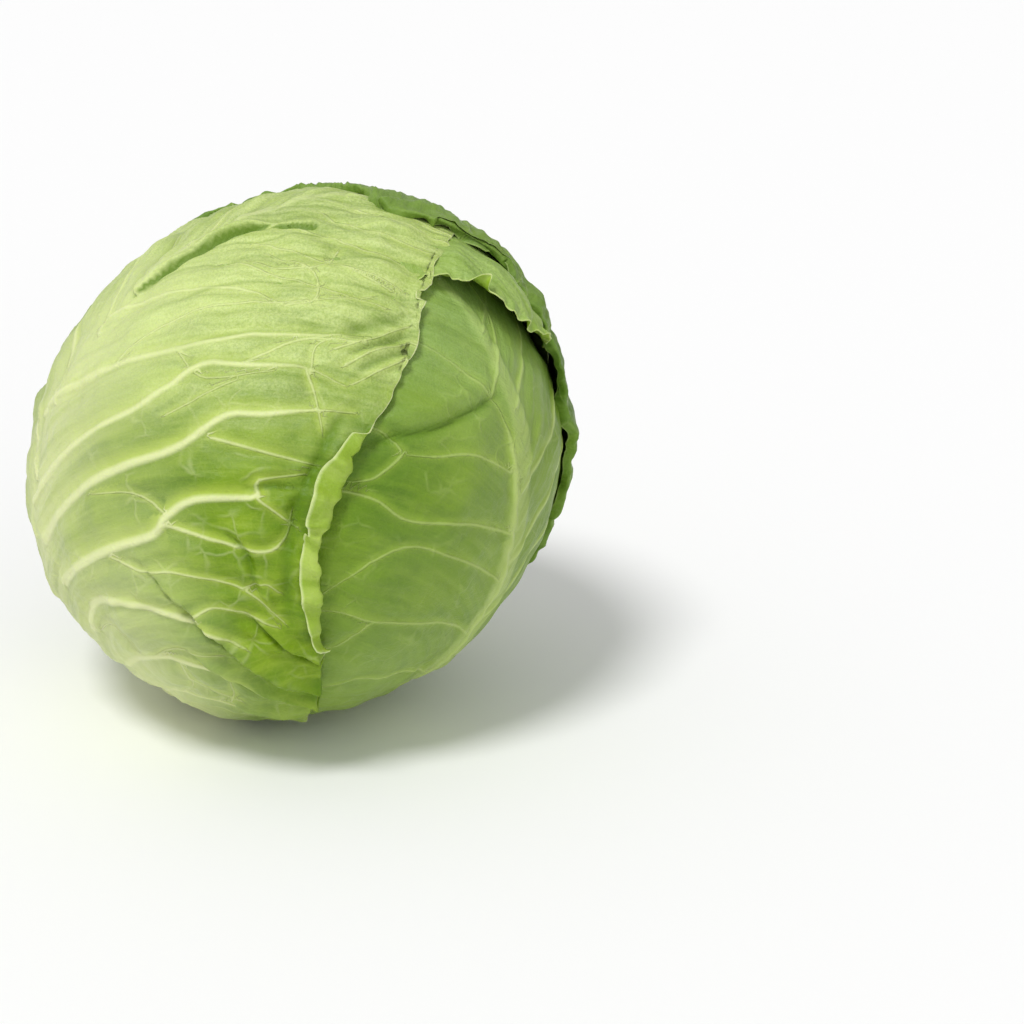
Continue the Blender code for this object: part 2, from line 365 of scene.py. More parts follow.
def vein_fields(leaf, places, normals, veins):
    """For each place on a sheet, its nearest vein: distance, signed distance and half width in mm, how
    directly the place lies under it, and the height of the ridge in metres.
    """
    near = np.full(len(places), 9.0)
    under = np.zeros(len(places))
    side = np.full(len(places), 9.0)
    half = np.full(len(places), 0.4)
    ridge = np.zeros(len(places))
    for vein in veins:
        path = path_on(leaf, vein.points, 5 * len(vein.points))
        low, high = path.min(axis=0) - 7.0 * MM, path.max(axis=0) + 7.0 * MM
        close = np.flatnonzero(np.all((places > low) & (places < high), axis=1))
        if not len(close):
            continue
        miss, along, ahead = nearest_on_path(places[close], path)
        distance = np.linalg.norm(miss, axis=1) / MM
        leftwards = (np.cross(ahead, miss) * normals[close]).sum(axis=1) > 0.0
        fade = 1.0 - smooth(0.75, 1.0, along) * 0.7
        half_here = (vein.start_half + (vein.end_half - vein.start_half) * along) * fade
        rise = vein.height * MM * fade * np.exp(-((distance / (0.8 * half_here + 0.55)) ** 2))
        ridge[close] = np.maximum(ridge[close], rise)
        wins = distance - half_here < near[close] - half[close]
        near[close[wins]] = distance[wins]
        side[close[wins]] = np.where(leftwards, distance, -distance)[wins]
        under[close[wins]] = np.clip(-miss[wins, 2] / MM / np.maximum(distance[wins], 0.05), 0.0, 1.0)
        half[close[wins]] = half_here[wins]
    return near, side, half, under, ridge


# ---------------------------------------------------------------- sheets


def grid_normals(places):
    """Normals of a grid of places, out of the head."""
    across = np.gradient(places, axis=1)
    along = np.gradient(places, axis=0)
    return unit(np.cross(across, along))


def ring_round(rows, columns):
    """Row and column numbers once round a grid's border, anticlockwise as seen from outside."""
    row = [0] * (columns - 1) + list(range(rows - 1))
    row += [rows - 1] * (columns - 1) + list(range(rows - 1, 0, -1))
    column = list(range(columns - 1)) + [columns - 1] * (rows - 1)
    column += list(range(columns - 1, 0, -1)) + [0] * (rows - 1)
    return np.array(row), np.array(column)


def even_out(values, passes):
    """Smooths values from place to place round a closed line."""
    for _ in range(passes):
        values = 0.25 * np.roll(values, 1, axis=0) + 0.5 * values + 0.25 * np.roll(values, -1, axis=0)
    return values


def curl(edge, outwards, normal, width, bend):
    """Rows of places past an edge, bending out of the sheet, and the normals of the sheet there."""
    rows, normals = [], []
    place = edge.copy()
    for step in range(1, RIM_STEPS + 1):
        share = (step - 0.5) / RIM_STEPS
        turned = bend * smooth(0.0, 0.42, share) + 0.09 * bend * smooth(0.55, 1.0, share)
        angle = np.radians(turned)[:, None]
        place = place + width[:, None] / RIM_STEPS * (np.cos(angle) * outwards + np.sin(angle) * normal)
        rows.append(place)
        normals.append(np.cos(angle) * normal - np.sin(angle) * outwards)
    return np.stack(rows), np.stack(normals)


def strip_faces(first, second):
    """Quads between two rings of vertex numbers."""
    return np.stack([first, np.roll(first, -1), np.roll(second, -1), second], axis=-1)


def coarse_faces(number):
    """Faces over every third vertex of a grid, which still take in each vertex of its border."""
    rows, columns = number.shape
    faces = []
    for row in range(0, rows - 1, COARSER):
        for column in range(0, columns - 1, COARSER):
            last_row, last_column = row + COARSER, column + COARSER
            low = number[row, column : last_column + 1 : 1 if row == 0 else COARSER]
            right = number[row : last_row + 1 : 1 if last_column == columns - 1 else COARSER, last_column]
            high = number[last_row, column : last_column + 1 : 1 if last_row == rows - 1 else COARSER]
            left = number[row : last_row + 1 : 1 if column == 0 else COARSER, column]
            faces.append(list(low) + list(right[1:]) + list(high[::-1][1:]) + list(left[::-1][1:-1]))
    return faces


def shell(name, blade, inner_blade, rim, inner_rim, rim_fields, fields):
    """One closed mesh: the outside, its rim, the edge, the rim's other side and the coarser inside."""
    rows, columns = blade.shape[:2]
    ring_row, ring_column = ring_round(rows, columns)
    count, around = rows * columns, len(ring_row)
    outer = np.arange(count).reshape(rows, columns)
    under_rim = inner_rim[::-1]
    rim = rim[1::2]
    rings = [outer[ring_row, ring_column]]
    rings += list(count + np.arange(len(rim) * around).reshape(len(rim), around))
    edge = 0.5 * (rim[-1] + under_rim[0]) + 0.35 * EDGE_THICKNESS * unit(rim[-1] - rim[-2])
    start = count + len(rim) * around
    rings.append(start + np.arange(around))
    start += around
    rings += list(start + np.arange(RIM_STEPS * around).reshape(RIM_STEPS, around))
    start += RIM_STEPS * around

    inner = np.full((rows, columns), -1)
    kept = np.zeros((rows, columns), bool)
    kept[::COARSER, ::COARSER] = True
    kept[ring_row, ring_column] = True
    inner[kept] = start + np.arange(kept.sum())
    rings.append(inner[ring_row, ring_column])

    places = np.vstack([
        blade.reshape(-1, 3), rim.reshape(-1, 3), edge, under_rim.reshape(-1, 3), inner_blade[kept],
    ])
    places[:, 2] = np.maximum(places[:, 2], FLOOR_CLEARANCE)
    corners = (outer[:-1, :-1], outer[:-1, 1:], outer[1:, 1:], outer[1:, :-1])
    faces = np.stack(corners, axis=-1).reshape(-1, 4).tolist()
    for first, second in zip(rings, rings[1:]):
        faces += strip_faces(second, first).tolist()
    outside = len(faces) - around * (RIM_STEPS + 1)
    faces += [face[::-1] for face in coarse_faces(inner)]

    mesh = bpy.data.meshes.new(name)
    mesh.from_pydata(places.tolist(), [], faces)
    ring = (ring_row, ring_column)
    for field, values in fields.items():
        values = values.reshape(rows, columns)
        on_rim = rim_fields.get(field, np.tile(values[ring], (RIM_STEPS, 1)))
        whole = [values.ravel(), on_rim[1::2].ravel(), on_rim[-1], on_rim[::-1].ravel(), values[kept]]
        attribute = mesh.attributes.new(field, "FLOAT", "POINT")
        attribute.data.foreach_set("value", np.concatenate(whole).astype(np.float32))
    material = np.zeros(len(faces), np.int32)
    material[outside:] = 1
    mesh.polygons.foreach_set("material_index", material)
    mesh.shade_smooth()
    mesh.update()
    return mesh


def lowest_near(heights):
    """The lowest height within one coarse face, so that the inside never comes through the outside."""
    for axis in (0, 1):
        length = heights.shape[axis]
        for step in range(1, COARSER + 1):
            extra = [(step, step) if side == axis else (0, 0) for side in (0, 1)]
            padded = np.pad(heights, extra, mode="edge")
            before = np.take(padded, range(length), axis=axis)
            after = np.take(padded, range(2 * step, 2 * step + length), axis=axis)
            heights = np.minimum(heights, np.minimum(before, after))
    return heights


def cover_over(leaf, polar, turn, above):
    """How much less a leaf's relief stands out where leaves above it press on it."""
    pressed = np.zeros(polar.shape)
    for other in above:
        pressed = np.maximum(pressed, inside(other, polar, turn))
    return 1.0 - 0.85 * pressed


def distance_to_margin(places, ring, on_margin):
    """Each place's distance from the leaf's margin, apart from its base."""
    tree = KDTree(int(on_margin.sum()))
    for number, place in enumerate(places[ring][on_margin]):
        tree.insert(place, number)
    tree.balance()
    flat = places.reshape(-1, 3)
    return np.array([tree.find(place)[2] for place in flat]).reshape(places.shape[:2])


def bumps_on(rim, width):
    """Small dents and bumps over a rim, where it is broad enough to crumple."""
    crumpled = smooth(3 * MM, 7 * MM, width)
    return MM * crumpled * (0.62 * ripple(rim, 6 * MM, 81) + 0.14 * ripple(rim, 3 * MM, 82))


def put_in_scene(name, data):
    made = bpy.data.objects.new(name, data)
    bpy.context.scene.collection.objects.link(made)
    return made


def leaf_piece(leaf, veins, relief, rim_plan, finishes, above=()):
    """A whole leaf: veins, puckers and its own relief on the blade, then the curled rim and the thickness.

    relief gets turn, around, distance from the margin and places, and gives heights and the painted shade of
    its creases from 0 to 1.
    rim_plan gets turn, around and places round the border, and gives the rim's width, its bend, how far its
    free edge is frilled, and how far that edge is slid along.
    """
    columns, rows = leaf.grid[0] + 1, leaf.grid[1] + 1
    across = spread(columns, -1.0, 1.0, leaf.favour)
    along = spread(rows, 0.0, 1.0, 0)
    x, y = leaf_outline(*np.meshgrid(across, along), leaf.bluntness)
    away, around = leaf_places(leaf, x, y)
    polar, turn = leaf_at(leaf, away, around)
    flat = on_layer(polar, turn, leaf.inset, leaf.lifted)
    normals = grid_normals(flat)
    ring = ring_round(rows, columns)
    on_margin = ring[0] > 0
    margin = distance_to_margin(flat, ring, on_margin)

    found = vein_fields(leaf, flat.reshape(-1, 3), normals.reshape(-1, 3), veins)
    near, side, half, under, ridge = (field.reshape(rows, columns) for field in found)
    thick = midrib_field(leaf, away, around)
    veinwise = np.radians(along_veins(away, around)) * HEAD_RADIUS
    streaks = np.stack([0.22 * np.radians(away) * HEAD_RADIUS, veinwise], axis=-1)
    open_air = cover_over(leaf, polar, turn, above)
    pucker = leaf.pucker * (1.0 - np.exp(-((near / 3.8) ** 2))) * (1.0 - 0.7 * thick)
    pucker += MM * (0.26 * ripple(streaks, 6 * MM, 11) + 0.12 * ripple(streaks, 2.8 * MM, 12))
    pucker += leaf.pucker * (0.36 * ripple(flat, 16 * MM, 13) + 0.10 * ripple(flat, 6 * MM, 14))
    height = (ridge + pucker + 1.3 * MM * thick * smooth(3 * MM, 16 * MM, flat[..., 2])) * open_air
    own_relief, crease_shade = relief(away, around, margin, flat)
    height += own_relief * open_air
    blade = flat + normals * height[..., None]

    # The rim carries on the way the blade runs a few rows in from its border
    raised = grid_normals(blade)
    deep = 3
    row_in = np.clip(ring[0], deep, rows - 1 - deep)
    column_in = np.clip(ring[1], deep, columns - 1 - deep)
    border = blade[ring]
    tangent = unit(even_out(np.roll(border, -1, axis=0) - np.roll(border, 1, axis=0), 4))
    up = unit(even_out(raised[row_in, column_in], 6))
    outwards = border - blade[row_in, column_in]
    outwards = unit(even_out(outwards - (outwards * tangent).sum(axis=1, keepdims=True) * tangent, 4))
    outwards = unit(outwards - (outwards * up).sum(axis=1, keepdims=True) * up)
    width, bend, frill, slant = (even_out(values, 2) for values in rim_plan(away[ring], around[ring], border))
    at_base = even_out(1.0 - on_margin, 12)
    width = width * (1.0 - at_base) + 0.3 * MM * at_base
    bend = bend * (1.0 - at_base)
    rim, rim_normals = curl(border, outwards, up, width, bend)
    share = np.arange(1, RIM_STEPS + 1)[:, None] / RIM_STEPS
    frills = (frill * share + bumps_on(rim, width)) * (1.0 - at_base)
    rim = rim + rim_normals * frills[..., None] + tangent * (slant * share * (1.0 - at_base))[..., None]

    thinner = BLADE_THICKNESS + (EDGE_THICKNESS - BLADE_THICKNESS) * smooth(8 * MM, 0.0, margin)
    depth = thinner + (MIDRIB_THICKNESS - BLADE_THICKNESS) * thick
    inner_blade = flat + normals * (lowest_near(height) - depth)[..., None]
    settle = 1.0 - smooth(0.0, 0.5, share)
    rim_depth = EDGE_THICKNESS + (depth[ring] - EDGE_THICKNESS) * settle
    inner_rim = rim - rim_normals * rim_depth[..., None]

    fields = {
        "vein_near": near,
        "vein_side": side,
        "vein_half": half,
        "under_vein": under,
        "midrib": thick,
        "pale": paleness(leaf, away, around),
        "veinwise": veinwise,
        "sideways": np.radians(away) * HEAD_RADIUS,
        # crease: painted shade in slits, grooves and pleat valleys
        "crease": np.clip(crease_shade, 0.0, 1.0) * open_air,
        "rim": np.zeros(near.shape),
    }
    rim_fields = {"rim": np.repeat(share, len(ring[0]), axis=1)}
    rim_fields["sideways"] = fields["sideways"][ring] + width * share
    mesh = shell(leaf.name, blade, inner_blade, rim, inner_rim, rim_fields, fields)
    piece = put_in_scene(leaf.name, mesh)
    for finish in finishes:
        mesh.materials.append(finish)
    return piece


def midrib_field(leaf, away, around):
    """1 along the middle of the midrib, which is broad at the base and narrows to nothing at the tip."""
    share = np.clip(length_share(leaf, around), 0.0, 1.0)
    sideways = np.radians(np.abs(away)) * np.sin(np.radians(np.clip(around, 1.0, 179.0))) * HEAD_RADIUS / MM
    half = 1.8 + 13.0 * (1.0 - share) ** 2.4
    return (1.0 - smooth(0.45, 1.0, sideways / half)) * (1.0 - smooth(0.70, 0.98, share))


def paleness(leaf, away, around):
    """1 where the leaf is almost white, at its base, falling to 0 over its blade."""
    share = np.clip(length_share(leaf, around), 0.0, 1.0)
    at_base = np.clip(1.0 - smooth(0.10, 0.60, share) - 0.75 * smooth(22.0, 62.0, np.abs(away)), 0.0, 1.0)
    by_midrib = 0.85 * bell(away, 0.0, 17.0) * smooth(0.80, 0.50, share)
    return np.maximum(at_base, by_midrib)


# ---------------------------------------------------------------- the leaves that show

FULL = ((-1, 1), (1, 1))
BACK_DARK = Leaf(
    "back_dark_leaf_skin", midrib=74.0, fold=12.0, tip=11.0,
    right=((0, 45), (0.4, 46), (0.7, 48), (0.88, 66), (1, 78)),
    left=((0, 45), (0.4, 72), (0.8, 77), (1, 80)),
    crest=((-1, 1), (-0.7, 1), (-0.3, 0.92), (0, 0.887), (0.3, 0.85), (1, 0.83)),
    bluntness=4.0, inset=-0.1 * MM, lifted=True, grid=(240, 210), favour=-1, pucker=1.1 * MM,
)
LEFT_FRONT = Leaf(
    "left_front_leaf_skin", midrib=200.0, fold=50.0, tip=24.0,
    right=(
        (0, 76), (0.18, 70), (0.25, 67), (0.31, 64), (0.39, 58), (0.48, 51.5), (0.6, 51.5),
        (0.72, 54), (0.80, 50), (0.87, 46), (1, 45),
    ),
    left=((0, 74), (0.5, 54), (1, 50)), crest=FULL,
    bluntness=4.0, inset=OUTER_PITCH, lifted=True, grid=(216, 288), favour=1, pucker=1.5 * MM,
)
CROWN = Leaf(
    "crown_leaf_skin", midrib=140.0, fold=70.0, tip=27.0,
    right=((0, 40), (0.4, 70), (1, 74)), left=((0, 40), (0.4, 74), (0.8, 74), (1, 72)),
    crest=((-1, 1), (-0.6, 1), (-0.27, 0.96), (-0.07, 0.91), (0.06, 0.88), (1, 0.86)),
    bluntness=4.0, inset=2 * OUTER_PITCH, lifted=True, grid=(240, 210), favour=-1, pucker=1.0 * MM,
)
RIGHT_FRONT = Leaf(
    "right_front_leaf_skin", midrib=325.0, fold=40.0, tip=20.0,
    right=((0, 45), (0.4, 78), (1, 78)), left=((0, 60), (0.4, 80), (1, 78)), crest=FULL,
    bluntness=3.0, inset=3 * OUTER_PITCH, lifted=False, grid=(216, 240), favour=-1, pucker=0.9 * MM,
)
LEFT_BACK = Leaf(
    "left_back_leaf_skin", midrib=150.0, fold=35.0, tip=18.0,
    right=((0, 45), (0.4, 82), (1, 82)), left=((0, 45), (0.4, 82), (1, 82)), crest=FULL,
    bluntness=3.0, inset=4 * OUTER_PITCH, lifted=False, grid=(150, 120), favour=0, pucker=1.0 * MM,
)
RIGHT_BACK = Leaf(
    "right_back_leaf_skin", midrib=30.0, fold=35.0, tip=18.0,
    right=((0, 55), (0.4, 84), (1, 82)), left=((0, 55), (0.4, 84), (1, 82)), crest=FULL,
    bluntness=3.0, inset=5 * OUTER_PITCH, lifted=False, grid=(180, 150), favour=0, pucker=1.0 * MM,
)


def left_front_veins():
    """Side veins of the big front leaf: they leave the midrib steeply, level out and fork further out."""
    main = (
        ([(-2, 88), (2, 84), (9, 78), (19, 72), (26, 71)], 0.8, 0.45, 0.7),
        ([(26, 71), (29, 67), (24, 63), (14, 65)], 0.4, 0.25, 0.4),
        ([(-4, 103), (8, 92), (17, 85), (25, 78), (33, 72), (42, 66)], 1.3, 0.4, 0.8),
        ([(0, 114), (10, 102), (18, 93), (22, 85), (27, 82), (36, 77), (43, 76)], 1.7, 0.5, 1.0),
        ([(3, 119), (16, 105), (26, 96), (30, 89), (35, 86), (41, 82), (47, 79)], 2.0, 0.55, 1.15),
        (
            [(8, 124), (20, 114), (28, 108), (29, 105), (32, 101), (40, 97), (39, 95), (45, 91)],
            2.1, 0.5, 1.15,
        ),
        ([(13, 131), (17, 124), (23, 121), (30, 119.5), (40, 119), (48, 121)], 1.9, 0.5, 1.0),
        ([(18, 138), (30, 130), (44, 129), (58, 134)], 1.4, 0.4, 0.7),
        ([(20, 148), (34, 141), (50, 142), (62, 146)], 0.8, 0.35, 0.5),
    )
    forks = (
        ([(27, 82), (33, 73), (42, 68)], 0.5, 0.3, 0.45),
        ([(36, 77), (40, 80), (44, 84)], 0.45, 0.3, 0.4),
        ([(37, 77), (35, 73), (38, 69)], 0.4, 0.25, 0.3),
        ([(30, 92.5), (37, 91), (46, 89)], 0.5, 0.35, 0.5),
        ([(40, 97), (44, 98), (48, 99)], 0.45, 0.3, 0.35),
        ([(29, 106), (38, 105), (45, 104), (47, 101), (46, 97)], 0.6, 0.4, 0.6),
        ([(29, 104.5), (23, 104), (16, 107)], 0.4, 0.2, 0.3),
        ([(22, 114), (27, 114), (33, 112), (44, 111), (53, 115)], 0.45, 0.35, 0.45),
        ([(44, 111), (47, 109), (50, 110)], 0.35, 0.25, 0.25),
        ([(17, 85), (24, 86), (32, 80)], 0.35, 0.22, 0.25),
        ([(8, 92), (14, 80), (26, 70), (36, 60)], 0.45, 0.25, 0.3),
        ([(37, 118), (42, 115), (52, 116)], 0.45, 0.35, 0.4),
        ([(16, 130), (20, 127), (24, 128), (28, 131)], 0.35, 0.2, 0.25),
        ([(30, 130), (36, 126), (44, 125)], 0.4, 0.25, 0.3),
        ([(36, 129.5), (40, 135), (50, 137)], 0.4, 0.25, 0.3),
        ([(34, 141), (38, 136), (37, 131)], 0.35, 0.25, 0.25),
        ([(44, 141), (48, 137), (47, 132)], 0.35, 0.25, 0.25),
        ([(26, 144), (34, 147), (46, 148), (58, 151)], 0.4, 0.25, 0.25),
        ([(22, 93), (26, 87), (29, 83)], 0.35, 0.2, 0.25),
        ([(38, 72), (41, 68), (46, 60)], 0.35, 0.2, 0.2),
        ([(41, 73), (44, 68), (49, 62)], 0.4, 0.2, 0.2),
        ([(44, 75), (47, 70), (51, 64)], 0.35, 0.2, 0.2),
        ([(22, 56), (24, 61), (20, 65), (14, 68)], 0.35, 0.2, 0.25),
        ([(23, 59), (30, 58), (38, 56)], 0.3, 0.2, 0.2),
    )
    starts = (74, 68, 61, 55, 48, 42)
    upper = tuple(([(9, start - 3), (20, start - 7), (40, start - 14)], 0.4, 0.2, 0.35) for start in starts)
    drawn = [Vein(*values) for values in main + forks + upper]
    return drawn + ruled_laterals(LEFT_FRONT, 7, 128.0, 62.0, 31, sides=(-1,))


def right_front_veins():
    """The leaf beside it: its midrib forks below the crown, and side veins run to the left and fork again."""
    drawn = (
        ([(0, 150), (-1, 120), (-2, 100), (-4, 90)], 1.6, 0.8, 0.6),
        ([(-4, 90), (1, 84), (6, 78), (9, 66), (12, 52)], 0.6, 0.3, 0.5),
        ([(-4, 90), (-10, 81), (-18, 72), (-26, 64)], 0.5, 0.3, 0.4),
        ([(-1, 103), (-10, 97), (-17, 95), (-22, 93)], 0.5, 0.4, 0.4),
        ([(-22, 93), (-27, 95), (-31, 94.5)], 0.45, 0.3, 0.4),
        ([(-22, 93), (-24, 89), (-30, 84), (-36, 80)], 0.4, 0.25, 0.3),
        ([(-1, 112), (-12, 107), (-23, 103), (-28, 98), (-36, 94), (-44, 93)], 0.55, 0.35, 0.4),
        ([(-1, 120), (-14, 112), (-25, 107), (-38, 112)], 0.5, 0.35, 0.35),
        ([(-1, 131), (-14, 124), (-29, 119), (-35, 116), (-44, 114)], 0.55, 0.35, 0.4),
        ([(-29, 119), (-36, 123), (-44, 124)], 0.4, 0.25, 0.3),
        ([(-2, 142), (-16, 136), (-30, 134), (-44, 136)], 0.6, 0.35, 0.4),
    )
    return [Vein(*values) for values in drawn] + ruled_laterals(RIGHT_FRONT, 6, 132.0, 60.0, 32, sides=(1,))


def fold_along(leaf, points, half, height, places):
    """A pleat's height over places on a leaf, along a smooth line through a few (turn, around) points."""
    line = path_on(leaf, points, 28)
    heights = np.zeros(places.shape[:2])
    low, high = line.min(axis=0) - 3 * half, line.max(axis=0) + 3 * half
    close = np.all((places > low) & (places < high), axis=-1)
    miss, share, _ = nearest_on_path(places[close], line)
    strength = smooth(0.0, 0.3, share) * (1.0 - 0.6 * smooth(0.85, 1.0, share))
    heights[close] = height * strength * np.exp(-((np.linalg.norm(miss, axis=1) / half) ** 2))
    return heights


def waves_of(values, wavelength, seed):
    """Smooth noise of about -1 to 1 over one measure."""
    return ripple(values[..., None], wavelength, seed, waves=8)


def ledge_along(leaf, points, reach, height, closes, places):
    """A step in a leaf: left of a line it stands up and slopes off over its reach; on the right runs a groove.

    The step closes up at the line's far end, or runs out over the margin. Gives heights, and the painted shade
    in its groove.
    """
    line = path_on(leaf, points, 28)
    flat = places.reshape(-1, 3)
    miss, share, ahead = nearest_on_path(flat, line)
    leftwards = (np.cross(ahead, miss) * (flat - (0.0, 0.0, MIDDLE))).sum(axis=1) > 0.0
    distance = np.linalg.norm(miss, axis=1)
    signed = np.where(leftwards, distance, -distance)
    ends = smooth(0.0, 0.45, share) * (smooth(1.0, 0.8, share) if closes else 1.0)
    groove = bell(signed, -0.9 * MM, 0.9 * MM) * ends
    raised = height * smooth(-0.8 * MM, 1.0 * MM, signed) * smooth(reach, 0.0, distance) * ends
    width = 1.25 * MM * np.maximum(ends, 0.05)
    # Painted shade along the groove beside the step
    groove_shade = between(signed, -1.7 * width, -0.9 * width, 0.0, 0.5 * width) * smooth(0.02, 0.3, ends)
    return (raised - 0.8 * height * groove).reshape(places.shape[:2]), groove_shade.reshape(places.shape[:2])


# Folds of the front leaf that overhang a groove: points as (turn, around), how far back they slope, their
# height, and whether they close up at the far end
FRONT_LEDGES = (
    ([(-1, 86), (2.5, 76), (3, 69), (6.5, 59)], 8.0 * MM, 2.5 * MM, True),
    ([(6, 62), (8.5, 58), (13, 54)], 4.0 * MM, 1.3 * MM, True),
    ([(24, 111), (36, 117), (47, 123), (56, 127), (67, 129)], 8.0 * MM, 4.2 * MM, False),
    ([(34, 124), (46, 129), (58, 133), (68, 134)], 7.0 * MM, 3.6 * MM, False),
    ([(44, 114), (52, 118), (60, 121), (68, 122)], 5.0 * MM, 3.0 * MM, False),
    ([(40, 136), (54, 140), (66, 141)], 6.0 * MM, 2.2 * MM, False),
)
# Its pleats: points, half width and height
FRONT_PLEATS = (
    ([(38, 72), (41, 68), (46, 60)], 1.2 * MM, 1.1 * MM),
    ([(41, 73), (44, 68), (49, 62)], 1.2 * MM, 1.2 * MM),
    ([(44, 75), (47, 70), (51, 64)], 1.2 * MM, 1.1 * MM),
    ([(39.5, 72.5), (42.5, 68), (47.5, 61)], 1.0 * MM, -1.2 * MM),
    ([(42.5, 74), (45.5, 69), (50, 63)], 1.0 * MM, -1.2 * MM),
    ([(36, 70), (39, 66), (44, 59)], 1.6 * MM, -1.2 * MM),
    ([(36, 95), (41, 92), (45, 90)], 1.3 * MM, 1.5 * MM),
    ([(38, 99), (42, 97), (46, 96)], 1.2 * MM, 1.3 * MM),
    ([(37, 97), (42, 94.5), (46, 93)], 0.9 * MM, -1.6 * MM),
    ([(36, 103), (42, 105), (46, 110)], 1.0 * MM, -1.6 * MM),
    ([(40, 107), (46, 109), (50, 113)], 1.5 * MM, 1.6 * MM),
)


def left_front_relief(away, around, margin, places):
    """Pleats that gather towards the crumpled margin, a slit beside the midrib, and the settled margin."""
    right_side = smooth(5.0, 20.0, away)
    low_front = between(around, 74.0, 84.0, 140.0, 152.0) * right_side
    gathered = np.abs(waves_of(around, 9.0, 41)) + 0.5 * np.abs(waves_of(around, 4.2, 42)) - 0.8
    heights = MM * 1.3 * gathered * np.exp(-margin / (8 * MM)) * low_front
    heights -= MM * 1.0 * right_side * smooth(12 * MM, 1 * MM, margin)
    upper = smooth(92.0, 72.0, around)
    slow = np.stack([0.12 * np.radians(away), np.radians(along_veins(away, around))], axis=-1) * HEAD_RADIUS
    folds = np.abs(ripple(slow, 18 * MM, 40)) - 0.6
    heights += MM * 1.1 * folds * upper
    # Painted shade in the valleys of the gathered pleats by the margin and of the slow folds up top
    crease_shade = smooth(0.30, -0.45, gathered) * np.exp(-margin / (6 * MM)) * low_front
    crease_shade = np.maximum(crease_shade, 0.35 * smooth(-0.40, -0.58, folds) * upper)
    for points, reach, height, closes in FRONT_LEDGES:
        ledge, groove_shade = ledge_along(LEFT_FRONT, points, reach, height, closes, places)
        heights += ledge
        crease_shade = np.maximum(crease_shade, groove_shade)
    for points, half, height in FRONT_PLEATS:
        pleat = fold_along(LEFT_FRONT, points, half, height, places)
        heights += pleat
        if height < 0.0:
            crease_shade = np.maximum(crease_shade, -pleat / (2.2 * MM))
    under_hem = between(around, 78.0, 84.0, 110.0, 118.0) * right_side
    heights *= 1.0 - 0.85 * under_hem * smooth(11 * MM, 6 * MM, margin)
    # A trough beside the hem, lowered and given painted shade
    trough = under_hem * bell(margin, 8.0 * MM, 2.2 * MM)
    heights -= MM * 1.2 * trough
    return heights, np.maximum(crease_shade, 0.9 * trough)


# How wide the front leaf's hem is, in millimetres of leaf folded back, from its top to its bottom
HEM_WIDTHS = (
    (30, 3), (80, 3), (84, 6), (88, 10), (93, 10), (97, 6.5), (99, 4.5), (101, 5.5), (104, 8.5), (107, 8),
    (111, 6), (115, 4), (119, 3), (170, 3),
)


def left_front_rim(away, around, places):
    """The margin folds back over the leaf as a crumpled hem low on the front; elsewhere it lies thin."""
    hem = between(around, 78.0, 84.0, 115.0, 121.0) * (away > 0.0)
    tongues = between(around, 116.0, 121.0, 142.0, 150.0) * (away > 0.0)
    ragged = MM * (1.6 + 0.7 * ripple(places, 11 * MM, 51) + 0.15 * ripple(places, 4 * MM, 52))
    ragged += 3.5 * MM * bell(around, 38.5, 1.6) * (away > 0.0)
    place, value = rows_of(*HEM_WIDTHS)
    folded = MM * (np.interp(around, place, value) + 0.9 * ripple(places, 9 * MM, 54))
    width = ragged * (1.0 - hem) + folded * hem + MM * tongues * (1.8 + 1.4 * ripple(places, 9 * MM, 53))
    flat_bend = -4.0 + 5.0 * ripple(places, 8 * MM, 55) - 75.0 * tongues
    bend = flat_bend * (1.0 - hem) + hem * (176.0 + 9.0 * ripple(places, 10 * MM, 56))
    frill = MM * hem * 0.9 * ripple(places, 7 * MM, 57)
    parted = 4.5 * (bell(around, 101.5, 3.0) - bell(around, 96.0, 3.0))
    slant = MM * hem * (parted + 1.2 * ripple(places, 8 * MM, 59))
    return np.maximum(width, 0.6 * MM), bend, frill, slant


def crown_relief(away, around, margin, places):
    """The free flap stands further off the head towards its edge, in long low waves."""
    flap = smooth(64.0, 34.0, around) * bell(away, -24.0, 30.0)
    waves = waves_of(away, 14.0, 43) * np.exp(-margin / (18 * MM))
    return MM * (3.6 * flap + 1.3 * flap * waves), np.zeros(away.shape)


def crown_rim(away, around, places):
    """A thin free edge with small teeth, which turns up here and there."""
    free = bell(away, -28.0, 40.0) * smooth(58.0, 46.0, around)
    teeth = 0.5 * ripple(places, 4 * MM, 60) + 0.3 * ripple(places, 2 * MM, 61)
    width = MM * (2.2 + free * (1.0 + 0.9 * ripple(places, 13 * MM, 62)) + teeth)
    bend = free * (30.0 + 45.0 * ripple(places, 12 * MM, 63))
    frill = MM * (0.25 + 0.5 * free) * ripple(places, 5 * MM, 64)
    return np.maximum(width, 0.6 * MM), bend, frill, np.zeros(len(away))


def dark_relief(away, around, margin, places):
    """Long swells that run to the margin, and a margin that stands up a little."""
    swells = waves_of(away, 16.0, 44) * np.exp(-margin / (22 * MM))
    lumps = 0.5 * ripple(places, 20 * MM, 45) + 0.25 * ripple(places, 8 * MM, 48)
    heights = 0.9 * swells + lumps + 0.5 * smooth(9 * MM, 1 * MM, margin)
    return MM * np.maximum(heights, -0.4), np.zeros(away.shape)


def dark_rim(away, around, places):
    """A thick rolled margin, turned under, with a few lobes."""
    width = MM * (4.2 + 1.1 * ripple(places, 15 * MM, 65) + 0.3 * ripple(places, 5 * MM, 66))
    bend = -105.0 + 28.0 * ripple(places, 12 * MM, 67)
    return np.maximum(width, MM), bend, MM * 0.3 * ripple(places, 7 * MM, 68), np.zeros(len(away))


